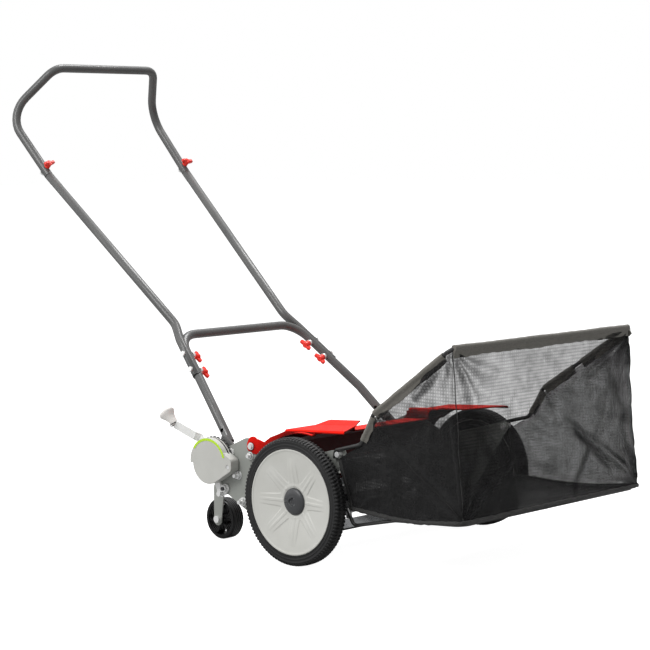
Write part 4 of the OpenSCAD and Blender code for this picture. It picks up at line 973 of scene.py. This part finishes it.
# sum of plane waves in random directions, drawn from a fixed seed; each is a folded sine, whose
# crests are sharper than its hollows
def ripples(u, v, seed, count, longest, shortest, size):
    rng = np.random.default_rng(seed)
    total = np.zeros_like(u)
    for _ in range(count):
        length = shortest * (longest / shortest) ** rng.random()
        heading, phase = rng.random(2) * 2 * math.pi
        along = u * math.cos(heading) + v * math.sin(heading)
        wave = np.sin(along * 2 * math.pi / length + phase)
        total += size * (length / longest) ** 0.7 * (wave - 0.35 * np.abs(wave))
    return total / math.sqrt(count)


# a ridge along a line from start to end: a bell across it that tapers to both ends
def crease(u, v, start, end, width, height):
    start, end = np.array(start, float), np.array(end, float)
    line = end - start
    span = np.linalg.norm(line)
    du, dv = u - start[0], v - start[1]
    along = (du * line[0] + dv * line[1]) / span
    off = (dv * line[0] - du * line[1]) / span
    ends = softStep(along, 0.0, 0.25 * span) * (1 - softStep(along, span, 0.25 * span))
    return height * np.exp(-(off / width) ** 2) * ends


# folds that spread from a pulled corner and die away with distance
def fan(u, v, corner, rays, reach, height, turn=0.0):
    du, dv = u - corner[0], v - corner[1]
    away = np.hypot(du, dv)
    spokes = height * np.cos(rays * np.arctan2(dv, du) + turn)
    return spokes * np.exp(-away / reach) * (1 - np.exp(-away / 18))


# all the creases and fans of one of the bag's faces
def foldsOn(u, v, face):
    rows = [crease(u, v, *row) for row in folds[face]["creases"]]
    return sum(rows + [fan(u, v, *row) for row in folds[face]["fans"]])


# one band of net round both sides and the front; each column runs from the top edge straight down
# to the bottom edge; corners are rounded by averaging along the band; the surface is then moved
# along its normal by billow, creases, fans and ripples
def bagBand():
    b = bag
    down = np.linspace(0, 1, b["rows"])
    a = np.linspace(0, 1, b["sideColumns"])
    top, bottom = alongLine(b["topEdge"], a), alongLine(b["bottomEdge"], a)
    plane = top[:, None, :] * (1 - down)[None, :, None] + bottom[:, None, :] * down[None, :, None]
    half = bagHalf(plane[..., 0])
    left = np.stack([plane[..., 0], half, plane[..., 1]], -1)
    right = left * np.array([1, -1, 1])
    share = np.linspace(-1, 1, b["frontColumns"] + 2)[1:-1]
    frontX = plane[0, :, 0]
    frontZ = plane[0, :, 1]
    front = np.stack([np.broadcast_to(frontX, (len(share), b["rows"])),
                      share[:, None] * bagHalf(frontX)[None, :],
                      np.broadcast_to(frontZ, (len(share), b["rows"]))], -1)
    points = np.concatenate([right[::-1], front, left])
    columns = len(points)
    onRight = np.zeros((columns, 1))
    onRight[:len(right)] = 1
    onLeft = np.zeros((columns, 1))
    onLeft[-len(left):] = 1
    onFront = 1 - onRight - onLeft
    u = points[..., 0] * (onRight + onLeft) + points[..., 1] * onFront
    v = points[..., 2]
    for _ in range(b["rounding"]):
        points[1:-1] = points[1:-1] * 0.5 + (points[:-2] + points[2:]) * 0.25
    alongBand = np.gradient(points, axis=0)
    downBand = np.gradient(points, axis=1)
    normal = -np.cross(alongBand, downBand)
    normal /= np.linalg.norm(normal, axis=-1, keepdims=True)
    edge = np.sin(math.pi * down)[None, :]
    widthShare = np.zeros((columns, 1))
    widthShare[:len(right), 0] = a[::-1]
    widthShare[-len(left):, 0] = a
    sideBell = np.sin(math.pi * np.clip(widthShare, 0, 1)) * (onRight + onLeft)
    frontBell = np.zeros((columns, 1))
    frontBell[len(right):-len(left), 0] = np.cos(share * math.pi / 2)
    # out at the sides, in at the front
    move = b["billow"] * edge * (0.7 * sideBell - 0.5 * frontBell)
    move = move + folds["size"] * (onRight * foldsOn(u, v, "right") + onLeft * foldsOn(u, v, "left")
                                   + onFront * foldsOn(u, v, "front"))
    move = move + sum(ripples(u, v, *row) for row in b["ripples"])
    # held close to its line at the top, and closer still at the bottom
    hold = (softStep(down, 0.02, 0.06) * 0.75 + 0.25) * (1 - softStep(down, 0.985, 0.03) * 0.8)
    points = points + normal * (move * hold[None, :])[..., None]
    # steepness of the folds: the change of the move from column to column and from row to row
    pace = np.maximum(np.linalg.norm(alongBand, axis=-1), 0.5)
    drop = np.maximum(np.linalg.norm(downBand, axis=-1), 0.5)
    steep = np.hypot(np.gradient(move, axis=0) / pace, np.gradient(move, axis=1) / drop)
    slope = np.clip(b["steepness"] * steep, 0, 1)
    cloth = np.stack([u * millimetre + b["weaveShift"] * (onLeft - onRight), v * millimetre], -1)
    k = darkNetAreas
    sideTop = k["sideTop"] + k["sideRise"] * (u - k["sideFrom"])
    frontDarkNet = ((1 - softStep(v, k["frontTop"], k["frontFade"]))
                  * (1 - softStep(u, k["frontEnd"], k["frontEndFade"])))
    # the right side's lower part is set darker and denser as a painted shade; the left share and
    # the front patch are drawn denser
    darkNet = (onLeft * k["leftShare"] + onRight * (1 - softStep(v, sideTop, k["sideFade"]))
             + onFront * k["frontShare"] * frontDarkNet)
    return points, cloth, darkNet, slope, len(right)


# a grid of points given a thickness: the grid moved half of it out and in along its normals, with
# the two skins joined along the border
def clothShell(name, points, cloth, material, thickness, marks):
    rows, columns = points.shape[:2]
    across, along = np.gradient(points, axis=0), np.gradient(points, axis=1)
    normal = np.cross(across, along)
    normal /= np.maximum(np.linalg.norm(normal, axis=-1, keepdims=True), 1e-9)
    outer = (points + normal * thickness / 2).reshape(-1, 3)
    inner = (points - normal * thickness / 2).reshape(-1, 3)
    faces = gridFaces(rows, columns, False, False)
    count = rows * columns
    index = np.arange(count).reshape(rows, columns)
    border = np.concatenate([index[0, :-1], index[:-1, -1], index[-1, :0:-1], index[:0:-1, 0]])
    following = np.roll(border, -1)
    strip = np.stack([border, following, following + count, border + count], -1)
    allFaces = np.concatenate([faces, faces[:, ::-1] + count, strip])
    both = np.concatenate([cloth.reshape(-1, 2)] * 2)
    piece = newPiece(name, fromAxle(np.concatenate([outer, inner])), allFaces, material, uv=both,
                     smoothAngle=80.0)
    for label, values in marks.items():
        layer = piece.data.attributes.new(label, "FLOAT", "POINT")
        layer.data.foreach_set("value", np.concatenate([values.reshape(-1)] * 2).astype(np.float32))
    return piece


# a closed section carried along a path; section rows are [out, down] in millimetres; the frame at
# each point is the path's direction, the given outward direction made square to it, and the third
# direction; scale gives each point its own size of the section's down part
def sweptPiece(name, path, section, material, outward, scale=None, smoothAngle=50.0):
    path = np.asarray(path, float)
    ahead = np.gradient(path, axis=0)
    ahead /= np.linalg.norm(ahead, axis=1, keepdims=True)
    outward = np.broadcast_to(np.asarray(outward, float), path.shape)
    out = outward - (outward * ahead).sum(1, keepdims=True) * ahead
    out /= np.linalg.norm(out, axis=1, keepdims=True)
    third = np.cross(ahead, out)
    third *= np.where(third[:, 2:3] > 0, -1.0, 1.0)
    section = np.asarray(section, float)
    size = np.ones(len(path)) if scale is None else scale
    points = (path[:, None, :] + out[:, None, :] * section[None, :, 0:1]
              + third[:, None, :] * section[None, :, 1:2] * size[:, None, None])
    steps = np.r_[0, np.cumsum(np.linalg.norm(np.diff(path, axis=0), axis=1))]
    around = np.r_[0, np.cumsum(np.linalg.norm(np.diff(section, axis=0), axis=1))]
    uv = np.stack(np.meshgrid(steps, around, indexing="ij"), -1) * millimetre
    count = len(section)
    faces = [tuple(f) for f in gridFaces(len(path), count, False, True)]
    faces.append(tuple(range(count)))
    faces.append(tuple(range((len(path) - 1) * count, len(path) * count)))
    return newPiece(name, fromAxle(points.reshape(-1, 3)), faces, material, uv=uv.reshape(-1, 2),
                    smoothAngle=smoothAngle)


# an oval of count points
def roundSection(width, height, count=14):
    turn = np.linspace(0, 2 * math.pi, count, endpoint=False)
    return np.stack([width / 2 * np.cos(turn), height / 2 * np.sin(turn)], -1)


# an outline round over the wire, pinched below it and sewn flat into a hanging hem
def sleeveSection(radius, tail):
    turn = np.linspace(math.radians(205), math.radians(-25), 17)
    top = np.stack([radius * np.cos(turn), -radius * np.sin(turn)], -1)
    right = [[2.6, radius * 0.93], [1.0, radius + 2.4], [0.9, tail - 0.6], [0.4, tail]]
    left = [[-p[0], p[1]] for p in reversed(right)]
    return np.concatenate([top, np.array(right + left)])


points, cloth, darkNet, slope, sideCount = bagBand()
band = clothShell("bagNetBand", points, cloth, bagNet, bag["cloth"],
                  {"darkNet": darkNet, "foldSlope": slope})
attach(band, "bag")
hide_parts("bag_cloth")


floorNet = {
    "columns": 110,
    "sag": 4.0,
    "ripples": (21, 14, 160, 30, 1.4),
    "rippleShare": 0.8,
    "flat": (0.284, 0.57),  # metres
}
# each row runs from the right bottom edge to the left one, hanging a little in the middle
bottomRight = points[:sideCount, -1][::-1]
bottomLeft = points[-sideCount:, -1]
across = np.linspace(0, 1, floorNet["columns"])[None, :, None]
floorGrid = bottomRight[:, None, :] * (1 - across) + bottomLeft[:, None, :] * across
hang = np.sin(math.pi * across[..., 0]) * np.ones((sideCount, 1))
waves = ripples(floorGrid[..., 0], floorGrid[..., 1], *floorNet["ripples"])
floorGrid[..., 2] += hang * (floorNet["rippleShare"] * waves - floorNet["sag"])
floorUv = floorGrid[..., :2] * millimetre
floorPanel = clothShell("bagFloorPanel", floorGrid, floorUv, bagFloorNet, bag["cloth"], {})
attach(floorPanel, "bag")


# a sewn strip that rides with the bag
def addHem(piece):
    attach(piece, "bag")


# width and height of each strip
strips = {
    "bottom": (6.0, 8.0),
    "binding": (3.6, 9.0),
    "piping": (1.6, 2.0),
    "wobble": 0.18,
}
# rolled hem along the bottom, bindings up the rear edges and piping up the front corners
bottomPath = points[:, -1]
place = np.arange(len(bottomPath))
wobble = 1 + strips["wobble"] * np.sin(place * 0.9) * np.sin(place * 0.23)
sideways = np.gradient(bottomPath, axis=0)[:, [1, 0, 2]] * np.array([1, -1, 0]) + 1e-6
addHem(sweptPiece("bagBottomHem", bottomPath + np.array([0, 0, 1.0]),
                  roundSection(*strips["bottom"]), hemCloth, sideways, wobble))
for label, column in (("right", 0), ("left", -1)):
    addHem(sweptPiece("bagRearBinding_" + label, points[column],
                      roundSection(*strips["binding"]), hemCloth, (0, 1, 0), smoothAngle=70))
for label, column in (("right", sideCount), ("left", len(points) - sideCount - 1)):
    addHem(sweptPiece("bagCornerPiping_" + label, points[column],
                      roundSection(*strips["piping"], 8), hemCloth, (1, 0, 0)))
print("bag band, floor and hems made")

sleeves = {
    "radius": 5.7,
    "tail": 15.0,  # how far the hem hangs below the wire's middle
    "frontTail": 17.5,
    "kneeRadius": 5.4,
    "kneeTail": 11.0,
    "sideLine": [(394, 450), (188, 312)],  # [forward, up]
    "kneeLine": [(190, 309), (155, 254)],
    "frontLine": [(394, -280, 450), (394, 278, 450)],
    "rightParts": [(0.10, 0.985)],  # shares of the side bar, from the front corner to the knee
    "leftParts": [(0.015, 0.55), (0.645, 0.985)],
}


# a line along the side of the bag's wire, front to rear
def wireLine(side, line):
    return np.array([[x, side * bagHalf(x), z] for x, z in line], float)


sags = [(2.3, 0.05), (5.1, 0.03), (17, 0.03)]  # waves along a sleeve and their size


# how far the hem hangs along a sleeve: even, with a few slow sags and small puckers, as one plus a
# sum of sines with drawn phases
def slackTail(count, seed):
    rng = np.random.default_rng(seed)
    s = np.linspace(0, 1, count)
    return 1 + sum(size * np.sin(2 * math.pi * (s * turns + rng.random())) for turns, size in sags)


for side, parts, label in ((-1, sleeves["rightParts"], "right"), (1, sleeves["leftParts"], "left")):
    for number, (start, end) in enumerate(parts):
        addHem(sweptPiece(f"bagSideSleeve_{label}_{number}",
                          alongLine(wireLine(side, sleeves["sideLine"]),
                                    np.linspace(start, end, 70)),
                          sleeveSection(sleeves["radius"], sleeves["tail"]), sleeveCloth,
                          (0, 1, 0), slackTail(70, 5 + number)))
    addHem(sweptPiece("bagKneeSleeve_" + label,
                      alongLine(wireLine(side, sleeves["kneeLine"]), np.linspace(0.06, 0.9, 30)),
                      sleeveSection(sleeves["kneeRadius"], sleeves["kneeTail"]), sleeveCloth,
                      (0, 1, 0), slackTail(30, 8)))
addHem(sweptPiece("bagFrontSleeve", alongLine(sleeves["frontLine"], np.linspace(0, 1, 160)),
                  sleeveSection(sleeves["radius"], sleeves["frontTail"]), sleeveCloth, (1, 0, 0),
                  slackTail(160, 12)))


# spring clip at the lever's knob: a loop and a third of thin wire that drops as it turns
clip = {
    "wire": 1.5,
    "middle": (-331.0, -300.0, 255.5),
    "reach": (5.225, 10.5, 5.1),  # half sizes of the loop
    "turns": 1.35,
    "start": 0.6,
    "drop": 3.0,
}
share = np.linspace(0, 1, 60)
turn = share * 2 * math.pi * clip["turns"] + clip["start"]
loop = np.stack([clip["middle"][0] + clip["reach"][0] * np.cos(turn),
                 clip["middle"][1] + clip["reach"][1] * np.sin(turn),
                 clip["middle"][2] + clip["reach"][2] * np.cos(turn) - clip["drop"] * share], -1)
wire = sweptPiece("leverClip", loop, roundSection(clip["wire"], clip["wire"], 10),
                  coats["blackSteel"], (0.7, 0.1, 0.72), smoothAngle=80)
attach(wire, "lever")


studio = {
    "floorHalf": 40.0,
    "floorColour": 0.42,
    "floorGlow": 0.95,
    "ambient": 0.5,
    "glossy": 0.7,
    "key": 140.0,
    "keyPlace": (-0.5, -3.7, 3.5),
    "keySize": 2.4,
    "fill": 16.0,
    "fillPlace": (-3.2, -2.2, 1.8),
    "fillSize": 2.0,
    "rim": 150.0,
    "rimPlace": (-0.8, 1.4, 4.2),
    "rimSize": 2.0,
    "lampsAimAt": (0, 0, 0.35),
}


# pale floor: its own colour takes the shadow, and what the camera sees is lifted towards white
def floorMaterial():
    material = bpy.data.materials.new("studioFloor")
    material.use_nodes = True
    tree = material.node_tree
    tree.nodes.clear()
    out = tree.nodes.new("ShaderNodeOutputMaterial")
    seen = tree.nodes.new("ShaderNodeLightPath")
    matt = tree.nodes.new("ShaderNodeBsdfDiffuse")
    matt.inputs["Color"].default_value = (*[studio["floorColour"]] * 3, 1)
    glow = tree.nodes.new("ShaderNodeEmission")
    glow.inputs["Strength"].default_value = studio["floorGlow"]
    dark = tree.nodes.new("ShaderNodeEmission")
    dark.inputs["Strength"].default_value = 0.0
    pick = tree.nodes.new("ShaderNodeMixShader")
    both = mathNode(tree, "ADD", seen.outputs["Is Camera Ray"], seen.outputs["Is Transmission Ray"],
                    clamp=True)
    tree.links.new(both, pick.inputs["Fac"])
    tree.links.new(dark.outputs[0], pick.inputs[1])
    tree.links.new(glow.outputs[0], pick.inputs[2])
    add = tree.nodes.new("ShaderNodeAddShader")
    tree.links.new(matt.outputs[0], add.inputs[0])
    tree.links.new(pick.outputs[0], add.inputs[1])
    tree.links.new(add.outputs[0], out.inputs["Surface"])
    return material


half = studio["floorHalf"]
floorMesh = bpy.data.meshes.new("studioFloor")
corners = [(-half, -half, 0), (half, -half, 0), (half, half, 0), (-half, half, 0)]
floorMesh.from_pydata(corners, [], [(0, 1, 2, 3)])
floorMesh.materials.append(floorMaterial())
floor = bpy.data.objects.new("studioFloor", floorMesh)
floor.location.z = -0.0005
bpy.context.scene.collection.objects.link(floor)

# white for the camera and through the net, a little dimmer in gloss, dimmer still as light
world = bpy.data.worlds.new("studioWorld")
bpy.context.scene.world = world
world.use_nodes = True
tree = world.node_tree
tree.nodes.clear()
out = tree.nodes.new("ShaderNodeOutputWorld")
light = tree.nodes.new("ShaderNodeBackground")
light.inputs["Color"].default_value = (1.0, 1.0, 1.0, 1)
light.inputs["Strength"].default_value = studio["ambient"]
white = tree.nodes.new("ShaderNodeBackground")
white.inputs["Color"].default_value = (1, 1, 1, 1)
path = tree.nodes.new("ShaderNodeLightPath")
pick = tree.nodes.new("ShaderNodeMixShader")
both = mathNode(tree, "ADD", path.outputs["Is Camera Ray"], mathNode(
    tree, "ADD", path.outputs["Is Glossy Ray"], path.outputs["Is Transmission Ray"]), clamp=True)
strength = mathNode(tree, "SUBTRACT", 1.0, mathNode(
    tree, "MULTIPLY", path.outputs["Is Glossy Ray"], 1.0 - studio["glossy"]))
tree.links.new(strength, white.inputs["Strength"])
tree.links.new(both, pick.inputs["Fac"])
tree.links.new(light.outputs[0], pick.inputs[1])
tree.links.new(white.outputs[0], pick.inputs[2])
tree.links.new(pick.outputs[0], out.inputs["Surface"])

# square lamps; for the camera the key is in front at the left, the fill far left and the rim behind
for label in ("key", "fill", "rim"):
    place = Vector(studio[label + "Place"])
    lamp = bpy.data.lights.new(label + "Lamp", "AREA")
    lamp.energy = studio[label]
    lamp.size = studio[label + "Size"]
    holder = bpy.data.objects.new(label + "Lamp", lamp)
    holder.location = place
    holder.rotation_mode = "QUATERNION"
    aim = Vector(studio["lampsAimAt"]) - place
    holder.rotation_quaternion = aim.to_track_quat("-Z", "Y")
    bpy.context.scene.collection.objects.link(holder)

# metres, degrees and millimetres of lens; azimuth turns left from +Y, then the camera tips down and
# rolls about its own axis
view = {
    "place": (3.0457, -3.2355, 0.8108),
    "azimuth": 42.5404,
    "down": 4.7514,
    "roll": -0.6376,
    "lens": 115.66,
    "sensor": 36,
}
azimuth, down, roll = (math.radians(view[k]) for k in ("azimuth", "down", "roll"))
ahead = Vector((-math.sin(azimuth) * math.cos(down), math.cos(azimuth) * math.cos(down),
                -math.sin(down)))
right = Vector((math.cos(azimuth), math.sin(azimuth), 0))
upward = right.cross(ahead)
turned = Matrix((right * math.cos(roll) + upward * math.sin(roll),
                 -right * math.sin(roll) + upward * math.cos(roll), -ahead)).transposed().to_4x4()
turned.translation = Vector(view["place"])
cameraData = bpy.data.cameras.new("studioCamera")
cameraData.lens = view["lens"]
cameraData.sensor_width = view["sensor"]
cameraData.clip_start = 0.05
cameraData.clip_end = 200
camera = bpy.data.objects.new("studioCamera", cameraData)
camera.matrix_world = turned
bpy.context.scene.collection.objects.link(camera)
bpy.context.scene.camera = camera
bpy.context.scene.view_settings.view_transform = "Standard"
print("studio set")
